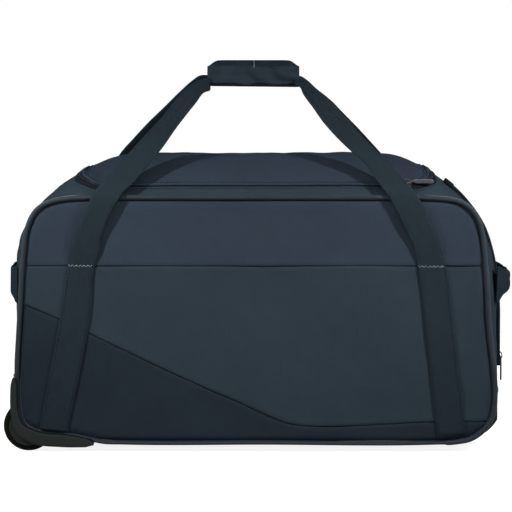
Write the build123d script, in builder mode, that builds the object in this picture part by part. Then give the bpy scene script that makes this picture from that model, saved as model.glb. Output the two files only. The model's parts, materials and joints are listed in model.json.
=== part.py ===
from build123d import *
import math
import os

# Rolling duffel bag. Millimetres, +Z up, X along the bag's length.
# The wheels are at the -X end and the tow handle leaves the +X end.
# Origin: on the floor, under the middle of the whole object.

# ---------------------------------------------------------------- driving sizes
bag_left = -338.0
bag_right = 330.0
half_depth = 165.0
bag_floor = 10.0
shoulder_z = 341.0
crown_z = 397.0
end_bulge = 14.0
wall = 4.0
gap = 0.3
far = 700.0

# Lid, cut out of the domed top and hinged along its rear edge.
lid_left = -245.0
lid_right = 232.0
lid_front = -143.0
lid_rear = 146.0
lid_corner = 34.0
zip_width = 6.0
tape_thick = 2.5
rear_seam = 149.0

# Carry webbing and its handles.
webbing_thick = 2.5
stitch_z = 252.0
fold_y = 173.0
lift_z = 335.0
fold_z = 350.0
grip_y = 8.0
grip_z = 505.0
grip_left = -76.0
grip_right = 54.0
grip_height = 38.0
grip_half_thick = 15.0

# Wheels.
wheel_x = -313.6
wheel_r = 34.0
wheel_width = 22.0
wheel_y = 143.2
tyre_inner_r = 26.5
axle_r = 4.0
bearing_r = 11.0
bearing_width = 7.0
bearing_clearance = 0.05
well_r = 38.0
housing_r = 42.0
cheek_r = 26.0
guard_thick = 6.0
guard_end_x = -226.0
guard_top_z = 101.0
housing_outer_y = 160.7
housing_inner_y = 121.0
housing_wall = 4.0

# Telescopic tow handle, under the base board.
tube_y = 70.0
tube_z = 31.0
tube_left = -238.0
cup_left = 264.0
travel = 210.0
tube_corner = 3.6
tube_sizes = {"fixed": (24.0, 18.0, 1.4), "mid": (20.6, 14.6, 1.3), "inner": (17.4, 11.4, 1.2)}
cup_half_width = 112.0
cup_low_z = 14.0
cup_high_z = 72.0
cup_wall = 5.0
cup_back = 286.0
finger_back = 270.0
finger_half_width = 46.0
grip_bar_x = (290.0, 309.0)
grip_bar_z = (25.0, 47.0)
grip_bar_half = 97.0
button_half = 22.0

# Base.
board_z = 43.0
board_thick = 3.0
rail_y = 78.0
rail_width = 16.0
rail_left = -190.0
rail_right = 255.0

# Seams on the front panel.
pocket_zip_height = 7.0
pocket_zip_left = -212.0
pocket_zip_right = 200.0

os.makedirs("parts", exist_ok=True)


def save(part, name):
    """Label one finished sub-part and write its file."""
    part.label = name
    export_step(part, f"parts/{name}.step")


def block(x_range, y_range, z_range, mode=Mode.ADD):
    """Box between two opposite corners, in the part being built."""
    lows = [min(pair) for pair in (x_range, y_range, z_range)]
    highs = [max(pair) for pair in (x_range, y_range, z_range)]
    centre = tuple((low + high) / 2 for low, high in zip(lows, highs))
    size = [high - low for low, high in zip(lows, highs)]
    with Locations(centre):
        Box(*size, mode=mode)


def rod_y(x, z, radius, y_range, mode=Mode.ADD):
    """Cylinder along Y, in the part being built."""
    low, high = sorted(y_range)
    with BuildSketch(Plane.XZ.offset(-low)) as round_face:
        with Locations((x, z)):
            Circle(radius)
    extrude(round_face.sketch, amount=-(high - low), mode=mode)


def bag_form(inset):
    """Outer form of the bag drawn in by inset: front view, side view and plan together."""
    front_view = [
        (bag_left, 30),
        (-200, bag_floor),
        (bag_right, bag_floor),
        (bag_right, 306),
        (215, 384),
        (75, crown_z),
        (-85, crown_z),
        (-222, 384),
        (bag_left, 312),
    ]
    with BuildPart() as form:
        with BuildSketch(Plane.XZ):
            with BuildLine():
                FilletPolyline(*front_view, radius=[22, 200, 52, 100, 150, 400, 400, 150, 80], close=True)
            make_face()
            offset(amount=-inset)
        extrude(amount=half_depth + 20, both=True)
        with BuildSketch(Plane.YZ):
            with BuildLine():
                Line((-half_depth, bag_floor), (half_depth, bag_floor))
                Line((half_depth, bag_floor), (half_depth, shoulder_z))
                ThreePointArc((half_depth, shoulder_z), (0, crown_z), (-half_depth, shoulder_z))
                Line((-half_depth, shoulder_z), (-half_depth, bag_floor))
            make_face()
            offset(amount=-inset)
        extrude(amount=far, both=True, mode=Mode.INTERSECT)
        with BuildSketch(Plane.XY.offset(-20)):
            left, right = bag_left + end_bulge, bag_right - end_bulge
            with BuildLine():
                Line((left, -half_depth), (right, -half_depth))
                ThreePointArc((right, -half_depth), (bag_right, 0), (right, half_depth))
                Line((right, half_depth), (left, half_depth))
                ThreePointArc((left, half_depth), (bag_left, 0), (left, -half_depth))
            make_face()
            offset(amount=-inset)
        extrude(amount=far, mode=Mode.INTERSECT)
    return form.part


outer = bag_form(0.001)
inner = bag_form(wall)
tape_floor = bag_form(tape_thick)
guard_form = bag_form(-guard_thick)
plate_form = bag_form(-3.0)
rib_form = bag_form(-1.6)


def lid_prism(grow, mode):
    """Upright prism over the lid's plan, grown outwards on its three zipped sides."""
    plan = [
        (lid_left - grow, lid_front - grow),
        (lid_right + grow, lid_front - grow),
        (lid_right + grow, lid_rear),
        (lid_left - grow, lid_rear),
    ]
    radius = lid_corner + grow
    with BuildSketch(Plane.XY.offset(shoulder_z - 60)) as lid_plan:
        with BuildLine():
            FilletPolyline(*plan, radius=[radius, radius, 0, 0], close=True)
        make_face()
    extrude(lid_plan.sketch, amount=far, mode=mode)


# ---------------------------------------------------------------- front and rear
# The front is one flat face with three panels: upper, pocket, and a tougher corner
# panel below a seam that falls from the wheel end to the base.
corner_seam = [
    (-far, 300.0),
    (-311.0, 199.0),
    (-195.0, 150.0),
    (-22.0, 56.0),
    (5.0, 44.0),
    (52.0, 32.0),
    (82.0, 31.0),
    (far, 36.0),
    (far, -50.0),
    (-far, -50.0),
]


def corner_prism(mode):
    """Everything under the slanting seam, through the front wall."""
    with BuildSketch(Plane.XZ.offset(half_depth - 20)) as under_seam:
        with BuildLine():
            Polyline(*corner_seam, close=True)
        make_face()
    extrude(under_seam.sketch, amount=40, mode=mode)


front_y = (-half_depth, -half_depth + wall)
pocket_gap_z = (stitch_z, stitch_z + pocket_zip_height)
flap_thick = 1.0

with BuildPart() as front_upper_panel:
    add(outer)
    block((-far, far), front_y, (stitch_z, far), mode=Mode.INTERSECT)
    # Opening for the pocket's zip, behind a thin flap.
    block((pocket_zip_left, pocket_zip_right), (-half_depth + flap_thick, -half_depth + wall + 1),
          (stitch_z - 1, pocket_gap_z[1]), mode=Mode.SUBTRACT)
    block((pocket_zip_left, pocket_zip_right), (-half_depth - 1, -half_depth + wall),
          (stitch_z - 1, stitch_z + 0.5), mode=Mode.SUBTRACT)
save(front_upper_panel.part, "front_upper_panel")

with BuildPart() as front_pocket_panel:
    add(outer)
    block((-far, far), front_y, (-far, stitch_z), mode=Mode.INTERSECT)
    corner_prism(Mode.SUBTRACT)
save(front_pocket_panel.part, "front_pocket_panel")

with BuildPart() as front_corner_panel:
    add(outer)
    block((-far, far), front_y, (-far, stitch_z), mode=Mode.INTERSECT)
    corner_prism(Mode.INTERSECT)
save(front_corner_panel.part, "front_corner_panel")

with BuildPart() as rear_panel:
    add(outer)
    block((-far, far), (half_depth - wall, half_depth), (-far, far), mode=Mode.INTERSECT)
save(rear_panel.part, "rear_panel")

lining_y = -half_depth + wall + 3.5
with BuildPart() as front_pocket_lining:
    block((-262, 258), (lining_y, lining_y + 1.2), (board_z + 6, pocket_gap_z[1] + 6))
    # Hem that joins the lining to the wall above the pocket's mouth.
    block((-262, 258), (-half_depth + wall, lining_y), (pocket_gap_z[1] + 3, pocket_gap_z[1] + 6))
save(front_pocket_lining.part, "front_pocket_lining")

with BuildPart() as pocket_zip_tape:
    block((pocket_zip_left, pocket_zip_right), (-half_depth + wall - 1.0, -half_depth + wall),
          pocket_gap_z)
save(pocket_zip_tape.part, "pocket_zip_tape")

with BuildPart() as pocket_slider:
    block((180, 190), (-half_depth + flap_thick + 0.2, -half_depth + wall - 1.2),
          (pocket_gap_z[0] + 0.4, pocket_gap_z[1] - 0.4))
    block((164, 180), (-half_depth + flap_thick + 0.4, -half_depth + flap_thick + 1.2),
          (pocket_gap_z[0] + 1.5, pocket_gap_z[1] - 1.5))
save(pocket_slider.part, "pocket_slider")


def piping(side):
    """Rolled edge that frames the front or rear panel, standing on its outer face."""
    face_y = side * half_depth
    with BuildPart() as edge:
        with BuildSketch(Plane.XZ.offset(-face_y)):
            with BuildLine():
                FilletPolyline(*edge_outline(1.5), radius=[23, 200, 53, 60, 60], close=True)
            make_face()
            with BuildLine():
                FilletPolyline(*edge_outline(-4.5), radius=[18, 194, 47, 54, 54], close=True)
            make_face(mode=Mode.SUBTRACT)
        extrude(amount=-side * 3.5)
    return edge.part


def edge_outline(grow):
    """Corner points of the front panel's rim, grown outwards."""
    return [
        (bag_left + end_bulge - grow, 30 - grow),
        (-200, bag_floor - grow),
        (bag_right - end_bulge + grow, bag_floor - grow),
        (bag_right - end_bulge + grow, shoulder_z + grow - 2),
        (bag_left + end_bulge - grow, shoulder_z + grow - 2),
    ]


for side, name in ((-1, "front_piping"), (1, "rear_piping")):
    save(piping(side), name)

# ---------------------------------------------------------------- ends, base, top
side_of_lid_left = lid_left - zip_width
side_of_lid_right = lid_right + zip_width
between_faces = (-half_depth + wall, half_depth - wall)


def wheel_space(radius, mode):
    """Cylinders round both wheels that the bag's walls leave free."""
    for side in (-1, 1):
        rod_y(wheel_x, wheel_r, radius,
              (side * (half_depth - wall), side * (housing_inner_y - gap)), mode=mode)


def end_panel(x_range, towing):
    """One end of the bag from the base over the shoulder to the lid's side."""
    with BuildPart() as panel:
        add(outer)
        add(inner, mode=Mode.SUBTRACT)
        block(x_range, between_faces, (-far, far), mode=Mode.INTERSECT)
        if towing:
            block((cup_left, far), (-cup_half_width, cup_half_width), (0, cup_high_z),
                  mode=Mode.SUBTRACT)
        else:
            wheel_space(housing_r, Mode.SUBTRACT)
    return panel.part


save(end_panel((-far, side_of_lid_left), False), "wheel_end_panel")
save(end_panel((side_of_lid_right, far), True), "handle_end_panel")

with BuildPart() as base_panel:
    add(outer)
    add(inner, mode=Mode.SUBTRACT)
    block((side_of_lid_left, side_of_lid_right), between_faces, (-far, 100), mode=Mode.INTERSECT)
save(base_panel.part, "base_panel")


def top_strip(y_range):
    """Part of the domed top left between the lid's zip and one long edge."""
    with BuildPart() as strip:
        add(outer)
        add(inner, mode=Mode.SUBTRACT)
        block((side_of_lid_left, side_of_lid_right), y_range, (shoulder_z - 40, far),
              mode=Mode.INTERSECT)
        lid_prism(zip_width, Mode.SUBTRACT)
    return strip.part


save(top_strip((-half_depth + wall, 0)), "front_top_strip")
save(top_strip((rear_seam, half_depth - wall)), "rear_top_strip")

with BuildPart() as main_zip_tape:
    add(outer)
    add(tape_floor, mode=Mode.SUBTRACT)
    block((-far, far), (-far, lid_rear), (shoulder_z - 60, far), mode=Mode.INTERSECT)
    lid_prism(zip_width, Mode.INTERSECT)
    lid_prism(gap, Mode.SUBTRACT)
save(main_zip_tape.part, "main_zip_tape")

with BuildPart() as lid_zip_tape:
    add(outer)
    add(tape_floor, mode=Mode.SUBTRACT)
    block((-far, far), (-far, lid_rear), (shoulder_z - 60, far), mode=Mode.INTERSECT)
    lid_prism(0, Mode.INTERSECT)
    lid_prism(-zip_width, Mode.SUBTRACT)
save(lid_zip_tape.part, "lid_zip_tape")

with BuildPart() as lid_panel:
    add(outer)
    add(inner, mode=Mode.SUBTRACT)
    block((-far, far), (-far, lid_rear), (shoulder_z - 60, far), mode=Mode.INTERSECT)
    lid_prism(-zip_width, Mode.INTERSECT)
save(lid_panel.part, "lid_panel")

# ---------------------------------------------------------------- zip sliders
top_radius = (half_depth ** 2 + (crown_z - shoulder_z) ** 2) / (2 * (crown_z - shoulder_z))
top_centre_z = crown_z - top_radius


def top_surface_z(y):
    """Height of the dome's outer face above the lid's straight front edge."""
    return top_centre_z + math.sqrt(top_radius ** 2 - y ** 2)


slider_x = 196.0
slider_half = 7.0
slider_low_z = top_surface_z(lid_front + 4) + 0.4
slider_pin_x = slider_x + slider_half - 2
slider_pin_z = slider_low_z + 5.0
with BuildPart() as zip_slider:
    block((slider_x - slider_half, slider_x + slider_half), (lid_front - 4, lid_front + 4),
          (slider_low_z, slider_low_z + 3))
    fillet(zip_slider.edges().filter_by(Axis.Z), 2)
    for y in (lid_front - 2.8, lid_front + 1.6):
        block((slider_pin_x - 2, slider_pin_x + 2), (y, y + 1.2), (slider_low_z + 3, slider_pin_z + 2))
save(zip_slider.part, "zip_slider")

with BuildPart() as zip_pull:
    rod_y(slider_pin_x, slider_pin_z, 0.9, (lid_front - 1.5, lid_front + 1.5))
    block((slider_pin_x, slider_pin_x + 30), (lid_front - 1.4, lid_front + 1.4),
          (slider_pin_z - 0.7, slider_pin_z + 0.7))
    block((slider_pin_x + 8, slider_pin_x + 32), (lid_front - 4, lid_front + 4),
          (slider_pin_z - 1, slider_pin_z + 1))
save(zip_pull.part, "zip_pull")

# ---------------------------------------------------------------- end pocket zip
end_zip_y = -45.0
end_zip_low = 105.0
end_slider_z = 118.0
end_zip_half = 7.0


def end_face_x(y):
    """Outer face of the handle end at its upright stretch."""
    radius = (half_depth ** 2 + end_bulge ** 2) / (2 * end_bulge)
    return bag_right - radius + math.sqrt(radius ** 2 - y ** 2)


with BuildPart() as end_zip_tape:
    add(rib_form)
    add(outer, mode=Mode.SUBTRACT)
    block((250, far), (end_zip_y - end_zip_half, end_zip_y + end_zip_half), (end_zip_low, far),
          mode=Mode.INTERSECT)
save(end_zip_tape.part, "end_zip_tape")

end_zip_face = end_face_x(end_zip_y + end_zip_half) + 1.6
with BuildPart() as end_slider:
    block((end_zip_face + 0.4, end_zip_face + 3.4), (end_zip_y - 4, end_zip_y + 4),
          (end_slider_z - 7, end_slider_z + 7))
    fillet(end_slider.edges().filter_by(Axis.X), 2)
    for y in (end_zip_y - 2.8, end_zip_y + 1.6):
        block((end_zip_face + 3.4, end_zip_face + 7), (y, y + 1.2), (end_slider_z - 5, end_slider_z - 1))
save(end_slider.part, "end_slider")

end_pin_x = end_zip_face + 5.2
end_pin_z = end_slider_z - 3
with BuildPart() as end_pull:
    rod_y(end_pin_x, end_pin_z, 0.9, (end_zip_y - 1.5, end_zip_y + 1.5))
    block((end_pin_x - 0.7, end_pin_x + 0.7), (end_zip_y - 1.4, end_zip_y + 1.4),
          (end_pin_z - 30, end_pin_z))
    block((end_pin_x - 1, end_pin_x + 1), (end_zip_y - 4, end_zip_y + 4),
          (end_pin_z - 32, end_pin_z - 8))
save(end_pull.part, "end_pull")

# ---------------------------------------------------------------- carry webbing
# Edges of the straps in the front view, from the base up. Each pair is the edge away from
# the bag's middle, then the edge near it.
fold_top = fold_z + 1
sewn_left = (
    [(-298, 33), (-266.5, 203), (-259, stitch_z), (-255.5, 279), (-249.5, 294), (-241.5, 313),
     (-232, 332), (-223.5, fold_top)],
    [(-260, 29), (-226.5, 203), (-222, stitch_z), (-216, 271), (-213.5, 292), (-209, 305),
     (-201, 323), (-184, fold_top)],
)
sewn_right = (
    [(276.5, 22), (248, stitch_z), (244, 267), (238.5, 287), (230.5, 305), (217.5, 331),
     (207.5, fold_top)],
    [(238.5, 18), (210, stitch_z), (205, 276), (193.5, 302), (177.5, 334), (167.5, fold_top)],
)
bar_high = grip_z + 2
bar_low = grip_z - 24
fold_low = fold_z - 2
free_left = (
    [(-225, fold_low), (-180, 400), (-160, 422), (-136, 448), (-106, 484), (-84, 499.5),
     (grip_left, bar_high)],
    [(-186, fold_low), (-171, 363), (-136.5, 404), (-113, 437), (-88.5, 468), (grip_left - 2, bar_low)],
)
free_left_rear = (
    [(-226, fold_low), (-203.5, 389.5), (-183, 412.5), (-162, 435.5), (-117, 480.5), (-97.5, 497.5),
     (grip_left, bar_high)],
    [(-186, fold_low), (-163, 378), (-143, 404), (-122, 430), (-101, 455), (grip_left - 2, bar_low)],
)
free_right = (
    [(209, fold_low), (194, 366), (160, 400.5), (134.5, 428), (112.5, 453), (92, 475), (64.5, 498),
     (grip_right, bar_high)],
    [(169.5, fold_low), (142, 387), (105.5, 420.5), (86.5, 441), (71.5, 462), (grip_right + 2, bar_low)],
)
free_right_rear = (
    [(211, fold_low), (196, 366), (165, 400.5), (140, 428), (118, 453), (96, 475), (65, 498),
     (grip_right, bar_high)],
    free_right[1],
)


def leg_outline(edges):
    """Closed outline of one strap leg."""
    away, near = edges
    return away + near[::-1]


def loop_outline(left, right):
    """Closed outline of a handle: left leg, bar along the grip, right leg."""
    return left[0] + right[0][::-1] + right[1] + left[1][::-1]


def band(points, half):
    """Closed outline of a thin strip that follows open (y, z) points."""
    one_side, other_side = [], []
    for index, (y, z) in enumerate(points):
        before = points[max(index - 1, 0)]
        after = points[min(index + 1, len(points) - 1)]
        along = Vector(after[0] - before[0], after[1] - before[1]).normalized()
        one_side.append((y + half * along.Y, z - half * along.X))
        other_side.append((y - half * along.Y, z + half * along.X))
    return one_side + other_side[::-1]


def webbing_strip(side, outlines, run):
    """Webbing seen from the front as the outlines, and from the side as the run."""
    with BuildPart() as strip:
        with BuildSketch(Plane.XZ):
            for outline in outlines:
                with BuildLine():
                    Polyline(*outline, close=True)
                make_face()
        extrude(amount=side * -far / 2)
        with BuildSketch(Plane.YZ):
            with BuildLine():
                Polyline(*[(side * y, z) for y, z in band(run, webbing_thick / 2)], close=True)
            make_face()
        extrude(amount=far, both=True, mode=Mode.INTERSECT)
    return strip.part


sewn_y = half_depth + webbing_thick / 2
sewn_run = [
    (sewn_y, 0),
    (sewn_y, stitch_z - 4),
    (sewn_y + 0.6, stitch_z + 4),
    (fold_y, lift_z),
    (fold_y, fold_z - 0.5),
]
handle_run = [(fold_y - 1, fold_z + 1), (grip_y, grip_z)]


def grip_pad(side, strap):
    """Half of the padded wrap, closed on the other half at the middle."""
    low_z = grip_z - 18
    with BuildPart() as pad:
        with BuildSketch(Plane.YZ.offset(grip_left)):
            with Locations((side * (grip_half_thick + gap) / 2, low_z + grip_height / 2)):
                Rectangle(grip_half_thick - gap, grip_height)
        extrude(amount=grip_right - grip_left)
        far_face = pad.faces().sort_by(Axis.Y)[0 if side < 0 else -1]
        fillet(far_face.edges(), 6)
        add(strap, mode=Mode.SUBTRACT)
    return pad.part


sewn_legs = [leg_outline(sewn_left), leg_outline(sewn_right)]
handle_loops = {
    "front": loop_outline(free_left, free_right),
    "rear": loop_outline(free_left_rear, free_right_rear),
}
for side, name in ((-1, "front"), (1, "rear")):
    save(webbing_strip(side, sewn_legs, sewn_run), f"{name}_webbing")
    strap = webbing_strip(side, [handle_loops[name]], handle_run)
    save(strap, f"{name}_handle_strap")
    save(grip_pad(side, strap), f"{name}_grip_pad")

# ---------------------------------------------------------------- haul handles
haul_z = 220.0
haul_height = 50.0
haul_mid_height = 22.0
haul_out = 349.0


def haul_handle(end, end_x):
    """Webbing grab handle across one end, narrower where it stands off in the middle."""
    root_x = end_x - 7
    line = [(root_x, -92), (root_x + 2, -76), (haul_out, -54), (haul_out, 54), (root_x + 2, 76), (root_x, 92)]
    inside = [(x - 4.5, y) for x, y in reversed(line)]
    inside[0] = (root_x - 0.1, 92)
    inside[-1] = (root_x - 0.1, -92)
    end_half, mid_half = haul_height / 2, haul_mid_height / 2
    side_view = [(-95, -end_half), (-80, -end_half), (-50, -mid_half),
                 (50, -mid_half), (80, -end_half), (95, -end_half)]
    side_view += [(y, -z) for y, z in reversed(side_view)]
    with BuildPart() as handle:
        with BuildSketch(Plane.XY.offset(haul_z - haul_height / 2)):
            with BuildLine():
                Polyline(*[(end * x, y) for x, y in line + inside], close=True)
            make_face()
        extrude(amount=haul_height)
        with BuildSketch(Plane.YZ):
            with BuildLine():
                Polyline(*[(y, haul_z + z) for y, z in side_view], close=True)
            make_face()
        extrude(amount=far, both=True, mode=Mode.INTERSECT)
        add(outer, mode=Mode.SUBTRACT)
    return handle.part


save(haul_handle(-1, -bag_left), "haul_handle_wheel_end")
save(haul_handle(1, bag_right), "haul_handle_tow_end")

# ---------------------------------------------------------------- wheels
def wheel_well(y_out, y_in):
    """Round body of a wheel housing, cut to the guard's outer face."""
    with BuildPart() as well:
        add(guard_form)
        rod_y(wheel_x, wheel_r, housing_r - gap, (y_out, y_in), mode=Mode.INTERSECT)
    return well.part


for side, name in ((-1, "front"), (1, "rear")):
    y_out, y_in = side * housing_outer_y, side * housing_inner_y
    with BuildPart() as housing:
        add(guard_form)
        add(outer, mode=Mode.SUBTRACT)
        block((-far, guard_end_x), (y_out, y_in), (-far, guard_top_z), mode=Mode.INTERSECT)
        add(wheel_well(y_out, y_in))
        rod_y(wheel_x, wheel_r, cheek_r, (y_out, y_out - side * housing_wall))
        rod_y(wheel_x, wheel_r, well_r, (y_out - side * housing_wall, y_in + side * housing_wall),
              mode=Mode.SUBTRACT)
        rod_y(wheel_x, wheel_r, axle_r, (y_out - side * 1.5, y_in), mode=Mode.SUBTRACT)
    save(housing.part, f"wheel_housing_{name}")

    with BuildPart() as axle:
        rod_y(wheel_x, wheel_r, axle_r, (y_out - side * 1.5, y_in))
    save(axle.part, f"axle_{name}")

    wheel_low, wheel_high = side * wheel_y - wheel_width / 2, side * wheel_y + wheel_width / 2
    with BuildPart() as tyre:
        rod_y(wheel_x, wheel_r, wheel_r, (wheel_low, wheel_high))
        fillet(tyre.edges(), 4)
        rod_y(wheel_x, wheel_r, tyre_inner_r, (wheel_low, wheel_high), mode=Mode.SUBTRACT)
    save(tyre.part, f"tyre_{name}")

    hub_inset = 1.0
    with BuildPart() as hub:
        rod_y(wheel_x, wheel_r, tyre_inner_r, (wheel_low + hub_inset, wheel_high - hub_inset))
        for face_y, depth in ((wheel_low, 7.0), (wheel_high, -7.0)):
            rod_y(wheel_x, wheel_r, tyre_inner_r - 4, (face_y, face_y + depth), mode=Mode.SUBTRACT)
            rod_y(wheel_x, wheel_r, bearing_r + 3, (face_y + math.copysign(hub_inset, depth), face_y + depth))
        for step in range(6):
            turn = math.radians(60 * step)
            spot = (wheel_x + 18.5 * math.cos(turn), wheel_r + 18.5 * math.sin(turn))
            rod_y(*spot, 2.6, (wheel_low, wheel_high), mode=Mode.SUBTRACT)
        rod_y(wheel_x, wheel_r, bearing_r, (wheel_low, wheel_high), mode=Mode.SUBTRACT)
        rod_y(wheel_x, wheel_r, bearing_r, (side * wheel_y - 1.5, side * wheel_y + 1.5))
        rod_y(wheel_x, wheel_r, 7.0, (side * wheel_y - 1.5, side * wheel_y + 1.5), mode=Mode.SUBTRACT)
    save(hub.part, f"hub_{name}")

    with BuildPart() as bearings:
        for offset_y in (-5.5, 5.5):
            middle = side * wheel_y + offset_y
            rod_y(wheel_x, wheel_r, bearing_r, (middle - bearing_width / 2, middle + bearing_width / 2))
        rod_y(wheel_x, wheel_r, axle_r + bearing_clearance, (wheel_low, wheel_high), mode=Mode.SUBTRACT)
    save(bearings.part, f"bearings_{name}")

with BuildPart() as kick_plate:
    add(plate_form)
    add(outer, mode=Mode.SUBTRACT)
    block((-far, -290), (-housing_inner_y + 1, housing_inner_y - 1), (-far, 112), mode=Mode.INTERSECT)
save(kick_plate.part, "kick_plate")

# ---------------------------------------------------------------- base
rib_y = 120.0
screw_spots = [(-160, -rib_y), (160, -rib_y), (-160, rib_y), (160, rib_y)]


def screw_shanks(mode):
    """Shanks of the screws that hold the board down on its ribs."""
    for x, y in screw_spots:
        with Locations((x, y, board_z + board_thick - 8)):
            Cylinder(1.8, 16, mode=mode)


with BuildPart() as base_board:
    block((tube_left - 24, cup_left - 2), (-half_depth + wall + 6, half_depth - wall - 2),
          (board_z, board_z + board_thick))
    fillet(base_board.edges().filter_by(Axis.Z), 12)
    screw_shanks(Mode.SUBTRACT)
save(base_board.part, "base_board")

with BuildPart() as base_ribs:
    for y in (-rib_y, rib_y):
        block((-262, 254), (y - 4, y + 4), (bag_floor, board_z))
    add(inner, mode=Mode.INTERSECT)
    screw_shanks(Mode.SUBTRACT)
save(base_ribs.part, "base_ribs")

with BuildPart() as base_screws:
    screw_shanks(Mode.ADD)
    for x, y in screw_spots:
        with Locations((x, y, board_z + board_thick + 1)):
            Cylinder(4.0, 2)
save(base_screws.part, "base_screws")

for side, name in ((-1, "front"), (1, "rear")):
    with BuildPart() as rail:
        with BuildSketch(Plane.XZ.offset(-side * rail_y - rail_width / 2)):
            with BuildLine():
                Polyline((rail_left, bag_floor), (rail_left + 12, 0), (rail_right - 12, 0),
                         (rail_right, bag_floor), close=True)
            make_face()
        extrude(amount=rail_width)
        fillet(rail.edges().filter_by(Axis.Y), 3)
        block((-far, far), (-far, far), (0, bag_floor), mode=Mode.INTERSECT)
    save(rail.part, f"skid_rail_{name}")

# ---------------------------------------------------------------- tow handle
def tube_pair(size, left, right):
    """Front and rear tube of one stage, open at both ends."""
    width, height, thick = size
    with BuildPart() as tubes:
        plugs(width, height, tube_corner, left, right)
        plugs(width - 2 * thick, height - 2 * thick, tube_corner - thick, left, right, mode=Mode.SUBTRACT)
    return tubes.part


def plugs(width, height, radius, left, right, mode=Mode.ADD):
    """Rounded blocks on both tube axes, in the part being built."""
    with BuildSketch(Plane.YZ.offset(left)) as plug_faces:
        with Locations((-tube_y, tube_z), (tube_y, tube_z)):
            RectangleRounded(width, height, radius)
    extrude(plug_faces.sketch, amount=right - left, mode=mode)


mid_left = tube_left + 18
inner_left = mid_left + 14
collar_right = cup_back + 3
rod_size = 3.0
pin_x = inner_left + 9
pin_r = 2.2
save(tube_pair(tube_sizes["fixed"], tube_left, cup_left), "fixed_tubes")


def pin_holes(mode, shift=0.0):
    """Holes for the two lock pins, on the outer side of each tube."""
    for end in (-1, 1):
        rod_y(pin_x + shift, tube_z, pin_r + 0.06, (end * (tube_y + 1), end * (tube_y + 20)), mode=mode)


with BuildPart() as mid_tubes:
    add(tube_pair(tube_sizes["mid"], mid_left, cup_back))
    # The pins spring into these holes when the handle is fully out.
    pin_holes(Mode.SUBTRACT, shift=travel)
save(mid_tubes.part, "mid_tubes")

with BuildPart() as inner_tubes:
    add(tube_pair(tube_sizes["inner"], inner_left, grip_bar_x[0]))
    pin_holes(Mode.SUBTRACT)
save(inner_tubes.part, "inner_tubes")

with BuildPart() as tube_foot_bracket:
    block((tube_left - 6, tube_left), (-92, 92), (tube_z - 9, board_z))
    plugs(20.4, 14.4, 2.0, tube_left, tube_left + 10)
    for y in (-40, 40):
        block((tube_left, tube_left + 30), (y - 10, y + 10), (board_z - 3, board_z))
save(tube_foot_bracket.part, "tube_foot_bracket")

with BuildPart() as tow_cup:
    add(outer)
    block((cup_left, far), (-cup_half_width, cup_half_width), (cup_low_z - 4, cup_high_z),
          mode=Mode.INTERSECT)
    block((cup_back, far), (-cup_half_width + cup_wall, cup_half_width - cup_wall),
          (cup_low_z + 4, cup_high_z - cup_wall), mode=Mode.SUBTRACT)
    block((finger_back, cup_back), (-finger_half_width - 1, finger_half_width + 1),
          (cup_low_z + 4, cup_high_z - cup_wall), mode=Mode.SUBTRACT)
    plugs(21.2, 15.2, 2.4, cup_left, cup_back, mode=Mode.SUBTRACT)
save(tow_cup.part, "tow_cup")

with BuildPart() as mid_collars:
    plugs(24, 17.4, 4.0, cup_back + gap, collar_right)
    plugs(18.0, 12.0, 2.6, cup_back, collar_right, mode=Mode.SUBTRACT)
    plugs(20.6, 14.6, 3.6, mid_left - 6, mid_left)
    plugs(15.0, 9.0, 2.0, mid_left - 6, mid_left, mode=Mode.SUBTRACT)
save(mid_collars.part, "mid_collars")

rod_left = inner_left + 22
with BuildPart() as push_rods:
    for y in (-tube_y, tube_y):
        block((rod_left, grip_bar_x[0] + 8), (y - rod_size / 2, y + rod_size / 2),
              (tube_z - rod_size / 2, tube_z + rod_size / 2))
save(push_rods.part, "push_rods")

rod_room = rod_size + 1.0
with BuildPart() as tow_grip:
    block(grip_bar_x, (-grip_bar_half, grip_bar_half), grip_bar_z)
    fillet(tow_grip.edges().filter_by(Axis.Y), 6)
    fillet(tow_grip.edges().filter_by(Axis.Z), 3)
    # Channel for the button's bar, open to the button's window in the outer face.
    block((grip_bar_x[0] + 3, grip_bar_x[0] + 11.6), (-tube_y - 4, tube_y + 4), (tube_z - 3, tube_z + 3),
          mode=Mode.SUBTRACT)
    block((grip_bar_x[0] + 8, grip_bar_x[1] + 1), (-button_half - 0.4, button_half + 0.4),
          (tube_z - 2.4, tube_z + 6.4), mode=Mode.SUBTRACT)
    for y in (-tube_y, tube_y):
        block((grip_bar_x[0] - 1, grip_bar_x[0] + 4), (y - rod_room / 2, y + rod_room / 2),
              (tube_z - rod_room / 2, tube_z + rod_room / 2), mode=Mode.SUBTRACT)
save(tow_grip.part, "tow_grip")

with BuildPart() as tow_button:
    block((grip_bar_x[0] + 8, grip_bar_x[0] + 11), (-tube_y - 3, tube_y + 3), (tube_z - 2, tube_z + 2))
    block((grip_bar_x[0] + 11, grip_bar_x[1] + 1.2), (-button_half, button_half), (tube_z - 2, tube_z + 6))
    fillet(tow_button.faces().sort_by(Axis.X)[-1].edges(), 1)
save(tow_button.part, "tow_button")

plug_width = tube_sizes["inner"][0] - 2 * tube_sizes["inner"][2]
plug_height = tube_sizes["inner"][1] - 2 * tube_sizes["inner"][2]
with BuildPart() as lock_plugs:
    plugs(plug_width, plug_height, 2.4, inner_left, inner_left + 20)
    for y in (-tube_y, tube_y):
        block((pin_x - 5, inner_left + 21), (y - 4, y + 4), (tube_z - 3, tube_z + 3), mode=Mode.SUBTRACT)
    pin_holes(Mode.SUBTRACT)
save(lock_plugs.part, "lock_plugs")

pin_tip = tube_sizes["mid"][0] / 2 - tube_sizes["mid"][2] - 0.05
for side, name in ((-1, "front"), (1, "rear")):
    with BuildPart() as lock_pin:
        rod_y(pin_x, tube_z, pin_r, (side * (tube_y + 1.5), side * (tube_y + pin_tip)))
    save(lock_pin.part, f"lock_pin_{name}")
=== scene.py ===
import json
import math

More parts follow.
